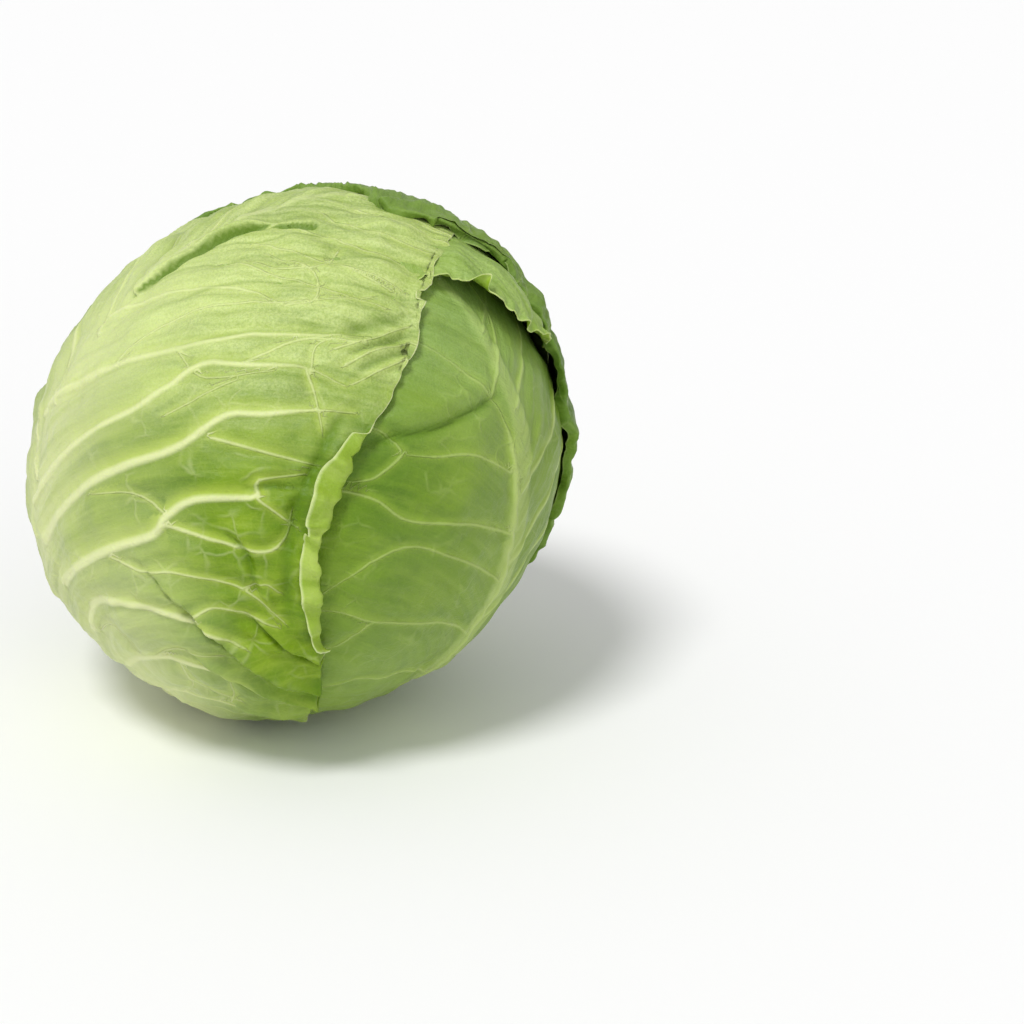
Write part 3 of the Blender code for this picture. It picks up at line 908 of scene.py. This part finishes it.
def front_relief(away, around, margin, places):
    """The smooth leaf under the front one: a crease across it below the flap, and soft swells."""
    crease = [(-34, 88), (-23, 90), (-14, 91), (-2, 90)]
    fold_over_it = [(-34, 85), (-22, 87), (-13, 88), (-1, 87)]
    heights = 0.35 * MM * ripple(places, 30 * MM, 47)
    heights += fold_along(RIGHT_FRONT, crease, 1.3 * MM, -1.9 * MM, places)
    heights += fold_along(RIGHT_FRONT, fold_over_it, 2.4 * MM, 1.2 * MM, places)
    # The crease across this leaf also gets painted shade
    return heights, fold_along(RIGHT_FRONT, crease, 1.3 * MM, 0.8, places)


def plain_relief(away, around, margin, places):
    return 0.25 * MM * ripple(places, 24 * MM, 46), np.zeros(away.shape)


def plain_rim(away, around, places):
    width = MM * (1.3 + 0.3 * ripple(places, 5 * MM, 69))
    return width, -5.0 + 6.0 * ripple(places, 12 * MM, 70), np.zeros(len(away)), np.zeros(len(away))


# ---------------------------------------------------------------- finishes


def fill_inputs(tree, made, inputs):
    """Joins a node's inputs to other nodes' outputs, or sets them to values."""
    for key, value in inputs.items():
        if hasattr(value, "links"):
            tree.links.new(value, made.inputs[key])
        else:
            made.inputs[key].default_value = value


def new_node(tree, kind, inputs, settings):
    made = tree.nodes.new(kind)
    for key, value in settings.items():
        setattr(made, key, value)
    fill_inputs(tree, made, inputs)
    return made


class Paint:
    """Short ways to add nodes to one material."""

    def __init__(self, name):
        self.material = bpy.data.materials.new(name)
        self.material.use_nodes = True
        self.tree = self.material.node_tree
        self.shader = self.tree.nodes["Principled BSDF"]

    def node(self, kind, inputs=None, **settings):
        return new_node(self.tree, kind, inputs or {}, settings)

    def places(self):
        return self.node("ShaderNodeTexCoord").outputs["Object"]

    def field(self, name):
        return self.node("ShaderNodeAttribute", attribute_name=name).outputs["Fac"]

    def math(self, operation, a, b=0.0):
        return self.node("ShaderNodeMath", {0: a, 1: b}, operation=operation).outputs[0]

    def times(self, a, b):
        return self.math("MULTIPLY", a, b)

    def vectors(self, operation, inputs):
        return self.node("ShaderNodeVectorMath", inputs, operation=operation).outputs[0]

    def ramp(self, value, low, high, start=0.0, end=1.0):
        made = self.node(
            "ShaderNodeMapRange",
            {"Value": value, "From Min": low, "From Max": high, "To Min": start, "To Max": end},
            interpolation_type="SMOOTHSTEP",
        )
        return made.outputs["Result"]

    def mix(self, share, a, b):
        made = self.node("ShaderNodeMix", {0: share, 6: a, 7: b}, data_type="RGBA")
        return made.outputs[2]

    def noise(self, places, scale, detail=3.0, roughness=0.55):
        inputs = {"Vector": places, "Scale": scale, "Detail": detail, "Roughness": roughness}
        return self.node("ShaderNodeTexNoise", inputs).outputs["Fac"]

    def cells(self, places, scale):
        inputs = {"Vector": places, "Scale": scale}
        return self.node("ShaderNodeTexVoronoi", inputs, feature="DISTANCE_TO_EDGE").outputs["Distance"]

    def bumps(self, height, distance, under=None):
        inputs = {"Height": height, "Distance": distance, "Strength": 1.0}
        if under is not None:
            inputs["Normal"] = under
        return self.node("ShaderNodeBump", inputs).outputs["Normal"]

    def join(self, **sockets):
        named = {"IOR" if key == "ior" else key.replace("_", " ").title(): sockets[key] for key in sockets}
        fill_inputs(self.tree, self.shader, named)
        return self.material


def warped(paint, places, scale, amount):
    """Places nudged by noise, so that cells lose their straight sides."""
    inputs = {"Vector": places, "Scale": scale, "Detail": 2.0}
    wobble = paint.node("ShaderNodeTexNoise", inputs).outputs["Color"]
    pushed = paint.vectors("SUBTRACT", {0: wobble, 1: (0.5, 0.5, 0.5)})
    scaled = paint.vectors("SCALE", {0: pushed, "Scale": amount})
    return paint.vectors("ADD", {0: places, 1: scaled})


# The colours of a leaf: deep and green in patches between the veins, light beside them, cream on them, and
# its waxy bloom, mixed in towards the top, where it is also painted light; deep also serves as painted shade
Palette = namedtuple("Palette", "deep green light cream bloom")


def leaf_finish(name, palette, bloom_and_top_light_strength, glow, veins=1.0, whitening=0.92):
    """Waxy leaf: deep green between the veins, paler beside them, cream veins and a fine net of veinlets."""
    paint = Paint(name)
    deep, green, light, cream, bloom_and_top_light_colour = ((*colour, 1.0) for colour in palette)
    places = paint.places()
    near, side, half = paint.field("vein_near"), paint.field("vein_side"), paint.field("vein_half")
    midrib, pale, rim = paint.field("midrib"), paint.field("pale"), paint.field("rim")
    crease = paint.field("crease")
    sideways = paint.times(paint.field("sideways"), 0.16)
    strokes = paint.node("ShaderNodeCombineXYZ", {0: sideways, 1: paint.field("veinwise")}).outputs[0]

    patches = paint.ramp(paint.noise(places, 40.0, 4.0, 0.6), 0.36, 0.66)
    colour = paint.mix(patches, deep, green)
    brushed = paint.ramp(paint.noise(strokes, 330.0, 5.0, 0.65), 0.38, 0.72, 0.0, 0.30)
    colour = paint.mix(brushed, colour, light)
    reach = paint.math("ADD", paint.times(half, 3.0), 1.2)
    halo = paint.ramp(paint.math("DIVIDE", near, reach), 0.1, 1.35, 1.0, 0.0)
    halo = paint.times(halo, paint.ramp(half, 0.15, 0.8, 0.45, 0.95))
    colour = paint.mix(halo, colour, light)

    # Painted shade: the deep colour laid in a band just below each vein, where its raised ridge would shade
    # the blade
    shade = paint.times(paint.ramp(near, 0.3, 1.2), paint.ramp(near, 2.0, 6.5, 1.0, 0.0))
    shade = paint.times(shade, paint.ramp(paint.field("under_vein"), 0.1, 0.9))
    shade = paint.times(shade, paint.ramp(half, 0.2, 0.8, 0.3, 0.75))
    colour = paint.mix(shade, colour, deep)

    bent = warped(paint, places, 90.0, 0.006)
    net = paint.ramp(paint.cells(bent, 110.0), 0.0, 0.085, 1.0, 0.0)
    net = paint.times(net, paint.ramp(paint.noise(places, 75.0, 2.0), 0.48, 0.68))
    fine_net = paint.ramp(paint.cells(bent, 430.0), 0.02, 0.14, 1.0, 0.0)
    colour = paint.mix(paint.times(net, 0.20 * veins), colour, cream)
    colour = paint.mix(paint.times(fine_net, 0.07), colour, light)

    width = paint.math("DIVIDE", paint.math("ABSOLUTE", side), paint.math("MAXIMUM", half, 0.30))
    line = paint.ramp(width, 0.2, 1.7, 1.0, 0.0)
    line = paint.times(line, paint.ramp(near, 1.2, 2.4, 1.0, 0.0))
    weight = paint.ramp(half, 0.05, 0.9, 0.3 * veins, 0.88 * veins)
    colour = paint.mix(paint.times(line, weight), colour, cream)

    whitened = paint.math("MAXIMUM", paint.times(midrib, 0.7), paint.times(pale, whitening))
    whitened = paint.times(whitened, paint.ramp(paint.noise(strokes, 260.0, 5.0, 0.65), 0.25, 0.6, 0.7, 1.0))
    colour = paint.mix(whitened, colour, cream)

    # Waxy bloom, faded in with height: its streaks and speckles are the leaf's own, and its rise towards the
    # top is painted light on the upper part of the head
    height = paint.node("ShaderNodeSeparateXYZ", {0: places}).outputs["Z"]
    dusty = paint.ramp(paint.noise(strokes, 150.0, 5.0, 0.7), 0.28, 0.66, 0.40, 1.0)
    speckle = paint.ramp(paint.noise(places, 1300.0, 4.0, 0.7), 0.35, 0.62, 0.62, 1.0)
    bloom_and_top_light_mask = paint.times(paint.ramp(height, 0.100, 0.150, 0.0, bloom_and_top_light_strength), paint.times(dusty, speckle))
    colour = paint.mix(bloom_and_top_light_mask, colour, bloom_and_top_light_colour)
    # Painted shade: the deep colour mixed into slits, grooves and pleat valleys
    colour = paint.mix(paint.times(crease, 0.85), colour, deep)
    colour = paint.mix(paint.ramp(rim, 0.86, 1.0, 0.0, 0.75), colour, cream)

    relief = paint.math("ADD", line, paint.times(net, 0.5))
    relief = paint.math("ADD", relief, paint.times(fine_net, 0.12))
    normal = paint.bumps(relief, 0.00030)
    normal = paint.bumps(paint.noise(strokes, 520.0, 5.0, 0.6), 0.00040, normal)
    normal = paint.bumps(paint.noise(places, 620.0, 5.0, 0.65), 0.00024, normal)
    rough = paint.ramp(paint.noise(places, 300.0, 3.0), 0.3, 0.7, 0.35, 0.52)
    return paint.join(
        base_color=colour,
        roughness=rough,
        normal=normal,
        subsurface_weight=glow,
        subsurface_radius=(0.8, 1.0, 0.25),
        subsurface_scale=0.0020,
        ior=1.33,
    )


def stem_finish():
    """Cut and weathered stem: off-white, drier and browner towards its rim, with fine fibres."""
    paint = Paint("stem_flesh")
    places = paint.places()
    split = paint.node("ShaderNodeSeparateXYZ", {0: places})
    flat = paint.node("ShaderNodeCombineXYZ", {0: split.outputs["X"], 1: split.outputs["Y"]}).outputs[0]
    out = paint.node("ShaderNodeVectorMath", {0: flat}, operation="LENGTH").outputs["Value"]
    rim = paint.ramp(out, STEM_RADIUS * 0.72, STEM_RADIUS * 1.02)
    tone = paint.ramp(paint.noise(places, 160.0, 5.0, 0.65), 0.3, 0.7)
    colour = paint.mix(tone, (0.80, 0.74, 0.52, 1), (0.88, 0.86, 0.70, 1))
    colour = paint.mix(paint.times(rim, 0.6), colour, (0.52, 0.42, 0.22, 1))
    spots = paint.ramp(paint.noise(places, 500.0, 3.0), 0.60, 0.74)
    colour = paint.mix(paint.times(spots, 0.4), colour, (0.60, 0.52, 0.32, 1))
    normal = paint.bumps(paint.noise(places, 700.0, 6.0, 0.7), 0.0003)
    return paint.join(base_color=colour, roughness=0.68, normal=normal)


def bundle_finish():
    """The ring of harder strands that the cut shows."""
    paint = Paint("strand_ends")
    places = paint.places()
    tone = paint.ramp(paint.noise(places, 900.0, 3.0), 0.3, 0.7)
    colour = paint.mix(tone, (0.48, 0.38, 0.18, 1), (0.66, 0.57, 0.32, 1))
    return paint.join(base_color=colour, roughness=0.6, normal=paint.bumps(tone, 0.0001))


CREAM = (0.72, 0.77, 0.40)
PALE_GREEN = (0.68, 0.79, 0.32)
OUTER_FINISH = leaf_finish(
    "outer_leaf_skin",
    Palette((0.105, 0.215, 0.001), (0.20, 0.33, 0.003), (0.42, 0.55, 0.07), CREAM, PALE_GREEN),
    bloom_and_top_light_strength=0.85, glow=0.15,
)
SMOOTH_FINISH = leaf_finish(
    "smooth_leaf_skin",
    Palette(
        (0.085, 0.19, 0.001), (0.145, 0.265, 0.003), (0.25, 0.385, 0.03),
        (0.48, 0.60, 0.19), (0.36, 0.52, 0.16),
    ),
    bloom_and_top_light_strength=0.75, glow=0.15, veins=0.9, whitening=0.4,
)
CROWN_FINISH = leaf_finish(
    "crown_leaf_skin",
    Palette(
        (0.10, 0.21, 0.002), (0.17, 0.30, 0.004), (0.31, 0.45, 0.04),
        (0.54, 0.66, 0.22), (0.46, 0.61, 0.20),
    ),
    bloom_and_top_light_strength=0.75, glow=0.15,
)
DARK_FINISH = leaf_finish(
    "dark_leaf_skin",
    Palette(
        (0.09, 0.19, 0.012), (0.16, 0.28, 0.028), (0.26, 0.40, 0.07),
        (0.44, 0.57, 0.19), (0.28, 0.41, 0.10),
    ),
    bloom_and_top_light_strength=0.5, glow=0.12, veins=0.8,
)
UNDER_FINISH = leaf_finish(
    "leaf_inner_face",
    Palette((0.26, 0.40, 0.03), (0.38, 0.53, 0.08), (0.52, 0.65, 0.18), (0.68, 0.78, 0.36), PALE_GREEN),
    bloom_and_top_light_strength=0.0, glow=0.2, veins=0.7,
)
HEART_FINISH = leaf_finish(
    "inner_leaf_skin",
    Palette((0.72, 0.74, 0.30), (0.82, 0.82, 0.44), (0.88, 0.87, 0.58), (0.93, 0.91, 0.74), CREAM),
    bloom_and_top_light_strength=0.0, glow=0.2,
)
BUD_FINISH = leaf_finish(
    "heart_bud_skin",
    Palette((0.74, 0.72, 0.26), (0.84, 0.82, 0.40), (0.90, 0.88, 0.55), (0.94, 0.92, 0.74), CREAM),
    bloom_and_top_light_strength=0.0, glow=0.2,
)


# ---------------------------------------------------------------- pieces


def add_outer_leaves():
    """Each from its node, leaf, veins, relief, rim and finish, and the leaves that lie over it."""
    plans = (
        (
            "back_dark_leaf", BACK_DARK, ruled_laterals(BACK_DARK, 7, 150.0, 50.0, 61),
            dark_relief, dark_rim, DARK_FINISH, (),
        ),
        (
            "left_front_leaf", LEFT_FRONT, left_front_veins(),
            left_front_relief, left_front_rim, OUTER_FINISH, (BACK_DARK,),
        ),
        (
            "crown_leaf", CROWN, ruled_laterals(CROWN, 8, 150.0, 55.0, 62),
            crown_relief, crown_rim, CROWN_FINISH, (BACK_DARK, LEFT_FRONT),
        ),
        (
            "right_front_leaf", RIGHT_FRONT, right_front_veins(),
            front_relief, plain_rim, SMOOTH_FINISH, (LEFT_FRONT, CROWN),
        ),
        (
            "left_back_leaf", LEFT_BACK, ruled_laterals(LEFT_BACK, 5, 140.0, 60.0, 63),
            plain_relief, plain_rim, OUTER_FINISH, (LEFT_FRONT, CROWN),
        ),
        (
            "right_back_leaf", RIGHT_BACK, ruled_laterals(RIGHT_BACK, 5, 140.0, 60.0, 64),
            plain_relief, plain_rim, OUTER_FINISH, (BACK_DARK, RIGHT_FRONT),
        ),
    )
    for node, leaf, veins, relief, rim, finish, above in plans:
        inner_face = DARK_FINISH if finish is DARK_FINISH else UNDER_FINISH
        piece = leaf_piece(leaf, veins, relief, rim, (finish, inner_face), above)
        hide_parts(node)
        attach(piece, "root")


def inner_relief(away, around, margin, places):
    """Crumpled folds, deepest towards the free margin."""
    towards_margin = smooth(26 * MM, 3 * MM, margin)
    folds = 0.45 * ripple(places, 9 * MM, 90) + 0.35 * towards_margin * ripple(places, 6 * MM, 91)
    return MM * folds, np.zeros(away.shape)


def inner_rim(away, around, places):
    width = MM * (1.4 + 0.4 * ripple(places, 6 * MM, 92))
    frill = MM * 0.5 * ripple(places, 6 * MM, 94)
    return width, 12.0 * ripple(places, 9 * MM, 93), frill, np.zeros(len(away))


def add_inner_leaves():
    """The leaves packed inside, each a layer further in and turned on from the last."""
    for number in range(INNER_LEAVES):
        depth = number / (INNER_LEAVES - 1)
        wide = ((0, 45 - 10 * depth), (0.4, 84), (1, 84))
        leaf = Leaf(
            f"inner_leaf_{number + 1:02d}_skin", midrib=(270.0 + PLANT_ANGLE * number) % 360.0,
            fold=38.0 + 8.0 * depth, tip=16.0, right=wide, left=wide, crest=FULL, bluntness=3.0,
            inset=FIRST_INNER_INSET + number * INNER_PITCH, lifted=False, grid=(96, 72), favour=0,
            pucker=0.7 * MM,
        )
        veins = ruled_laterals(leaf, 5, 138.0, 60.0, 70 + number)
        piece = leaf_piece(leaf, veins, inner_relief, inner_rim, (HEART_FINISH, HEART_FINISH))
        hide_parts(f"inner_leaf_{number + 1:02d}")
        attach(piece, "root")


def turned_piece(name, rings, finish):
    """A closed mesh through rings of places, capped at both ends with a point."""
    sides = rings.shape[1]
    low, high = rings[0].mean(axis=0), rings[-1].mean(axis=0)
    places = np.vstack([rings.reshape(-1, 3), low, high])
    numbers = np.arange(rings.shape[0] * sides).reshape(-1, sides)
    faces = []
    for first, second in zip(numbers, numbers[1:]):
        faces += strip_faces(first, second).tolist()
    under, over = len(places) - 2, len(places) - 1
    faces += [[numbers[0][(side + 1) % sides], numbers[0][side], under] for side in range(sides)]
    faces += [[numbers[-1][side], numbers[-1][(side + 1) % sides], over] for side in range(sides)]
    mesh = bpy.data.meshes.new(name)
    mesh.from_pydata(places.tolist(), [], [[int(corner) for corner in face] for face in faces])
    mesh.shade_smooth()
    mesh.materials.append(finish)
    return put_in_scene(name, mesh)


def add_heart():
    """The tight bud in the middle, its little leaves wrapped in a spiral."""
    polar = np.radians(np.linspace(3.0, 168.0, 120))[:, None]
    turn = np.radians(np.arange(0.0, 360.0, 2.5))[None, :]
    polar, turn = np.broadcast_arrays(polar, turn)
    flat = on_layer(polar, turn, FIRST_INNER_INSET + INNER_LEAVES * INNER_PITCH + MM, False)
    spiral = (turn / (2.0 * math.pi) * BUD_WRAPS + 0.9 * polar) % 1.0
    lap = spiral * smooth(1.0, 0.93, spiral)
    heights = MM * (1.3 * lap + 0.35 * ripple(flat, 7 * MM, 95) - 1.0) * smooth(0.0, 0.5, polar)
    rings = (flat + unit(flat - flat.mean(axis=(0, 1))) * heights[..., None])[::-1]
    rings[..., 2] = np.maximum(rings[..., 2], STEM_TOP + 0.3 * MM)
    piece = turned_piece("heart_bud_skin", rings, BUD_FINISH)
    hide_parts("heart_bud")
    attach(piece, "root")


def stem_body():
    """The stem: a cut end with a slightly raised rind, fluted sides, and scars where leaves have grown."""
    sides = 144
    scar_spacing = 7.0 * MM
    turn = np.radians(np.arange(sides) * 360.0 / sides)
    circle = np.stack([np.cos(turn), np.sin(turn)], axis=-1)
    flutes = 1.0 - 0.012 * (0.5 + 0.5 * np.sin(5.0 * turn + 0.6)) - 0.006 * (0.5 + 0.5 * np.sin(13.0 * turn))
    rings = []
    for share in np.linspace(0.08, 0.97, 30):
        radius = share * stem_radius(0.0) * (flutes if share > 0.6 else 1.0) * np.ones(sides)
        flat = circle * radius[:, None]
        hollow = 0.25 * MM * (1.0 - smooth(0.0, 0.9, share)) + 0.06 * MM * (1.0 + ripple(flat, 4 * MM, 96))
        rings.append(np.column_stack([flat, np.maximum(hollow, 0.0)]))
    for height in np.linspace(0.0, STEM_TOP, 90):
        scar = np.cos(2.0 * math.pi * (height / scar_spacing + turn / (2.0 * math.pi)))
        radius = stem_radius(height) * flutes * (1.0 - 0.02 * smooth(0.80, 1.0, scar))
        radius *= 1.0 - 0.02 * smooth(0.8 * MM, 0.0, height)
        rings.append(np.column_stack([circle * radius[:, None], np.full(sides, height)]))
    return turned_piece("stem_skin", np.stack(rings), stem_finish())


def strand_ring_tree():
    """Hard strand ends set in a ring round a cut stem, each turned and sized a little differently."""
    tree = bpy.data.node_groups.new("strand_ring", "GeometryNodeTree")
    inputs = (
        ("Strands", "NodeSocketInt"),
        ("Ring Radius", "NodeSocketFloat"),
        ("Strand Radius", "NodeSocketFloat"),
        ("Height", "NodeSocketFloat"),
        ("Seed", "NodeSocketInt"),
        ("Finish", "NodeSocketMaterial"),
    )
    for name, kind in inputs:
        tree.interface.new_socket(name, in_out="INPUT", socket_type=kind)
    tree.interface.new_socket("Geometry", in_out="OUTPUT", socket_type="NodeSocketGeometry")

    def node(kind, inputs=None, **settings):
        return new_node(tree, kind, inputs or {}, settings)

    given = node("NodeGroupInput").outputs
    ring = node("GeometryNodeMeshCircle", {"Vertices": given["Strands"], "Radius": given["Ring Radius"]})
    limits = {"Min": (-0.4 * MM,) * 3, "Max": (0.4 * MM,) * 3, "Seed": given["Seed"]}
    shift = node("FunctionNodeRandomValue", limits, data_type="FLOAT_VECTOR")
    level = node("ShaderNodeVectorMath", {0: shift.outputs[0], 1: (1.0, 1.0, 0.0)}, operation="MULTIPLY")
    moved = node("GeometryNodeSetPosition", {"Geometry": ring.outputs[0], "Offset": level.outputs[0]})
    strand = node("GeometryNodeMeshUVSphere", {"Segments": 8, "Rings": 5, "Radius": given["Strand Radius"]})
    stretched = node("GeometryNodeTransform", {"Geometry": strand.outputs[0], "Scale": (1.0, 0.55, 0.25)})
    heading = {"Vector": node("GeometryNodeInputPosition").outputs[0]}
    outwards = node("FunctionNodeAlignRotationToVector", heading, axis="X", pivot_axis="Z")
    size = node("FunctionNodeRandomValue", {2: 0.6, 3: 1.0, "Seed": given["Seed"]}, data_type="FLOAT")
    placed = node("GeometryNodeInstanceOnPoints", {
        "Points": moved.outputs[0], "Instance": stretched.outputs[0], "Rotation": outwards.outputs[0],
        "Scale": size.outputs[1],
    })
    real = node("GeometryNodeRealizeInstances", {0: placed.outputs[0]})
    offset = node("ShaderNodeCombineXYZ", {2: given["Height"]})
    raised = node("GeometryNodeTransform", {"Geometry": real.outputs[0], "Translation": offset.outputs[0]})
    painted = node("GeometryNodeSetMaterial", {"Geometry": raised.outputs[0], "Material": given["Finish"]})
    node("NodeGroupOutput", {0: painted.outputs[0]})
    return tree


def grown(name, tree, values):
    """A plain mesh object grown by a node tree from its named values."""
    holder = put_in_scene(name, bpy.data.meshes.new(name))
    modifier = holder.modifiers.new(name, "NODES")
    modifier.node_group = tree
    for socket in tree.interface.items_tree:
        if socket.in_out == "INPUT":
            modifier[socket.identifier] = values[socket.name]
    result = holder.evaluated_get(bpy.context.evaluated_depsgraph_get())
    mesh = bpy.data.meshes.new_from_object(result)
    holder.modifiers.remove(modifier)
    holder.data = mesh
    mesh.shade_smooth()
    return holder


def add_stem():
    stem = stem_body()
    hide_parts("stem_core")
    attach(stem, "root")
    strands = grown("stem_strands", strand_ring_tree(), {
        "Strands": 34, "Ring Radius": 0.74 * STEM_RADIUS, "Strand Radius": 0.9 * MM, "Height": 0.24 * MM,
        "Seed": 7, "Finish": bundle_finish(),
    })
    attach(strands, "root")


def add_stage():
    bpy.ops.mesh.primitive_plane_add(size=8.0)
    floor = bpy.context.object
    floor.name = "floor"
    paint = Paint("floor_white")
    paint.join(base_color=(0.93, 0.93, 0.93, 1.0), roughness=0.8)
    floor.data.materials.append(paint.material)


def add_light(name, azimuth, elevation, softness, strength):
    """A far soft light; azimuth as on the head, softness in degrees."""
    lamp = bpy.data.lights.new(name, "SUN")
    lamp.angle = math.radians(softness)
    lamp.energy = strength
    made = put_in_scene(name, lamp)
    made.rotation_euler = (math.radians(90.0 - elevation), 0.0, math.radians(90.0 + azimuth))


def add_lights():
    world = bpy.data.worlds.new("soft_white")
    bpy.context.scene.world = world
    world.use_nodes = True
    sky = {"Color": (1.0, 1.0, 1.0, 1.0), "Strength": 0.54}
    fill_inputs(world.node_tree, world.node_tree.nodes["Background"], sky)
    add_light("key", azimuth=-125.0, elevation=58.0, softness=16.0, strength=1.85)
    add_light("fill", azimuth=-70.0, elevation=30.0, softness=40.0, strength=0.25)


def add_camera(aim):
    """A long lens from 20 degrees up, with the head left of the middle."""
    distance, elevation = 1.1, math.radians(20.0)
    camera = bpy.data.cameras.new("camera")
    camera.lens = 119.9
    camera.sensor_width = 36.0
    camera.shift_x = 0.2075
    camera.shift_y = -0.0605
    made = put_in_scene("camera", camera)
    back = aim.__class__((0.0, -math.cos(elevation), math.sin(elevation)))
    made.location = aim + back * distance
    made.rotation_euler = (-back).to_track_quat("-Z", "Y").to_euler()
    bpy.context.scene.camera = made


add_outer_leaves()
add_inner_leaves()
add_heart()
add_stem()
add_stage()
AIM = (CAD_BOX[0] + CAD_BOX[1]) / 2.0
add_lights()
add_camera(AIM)
bpy.context.scene.view_settings.view_transform = "Standard"
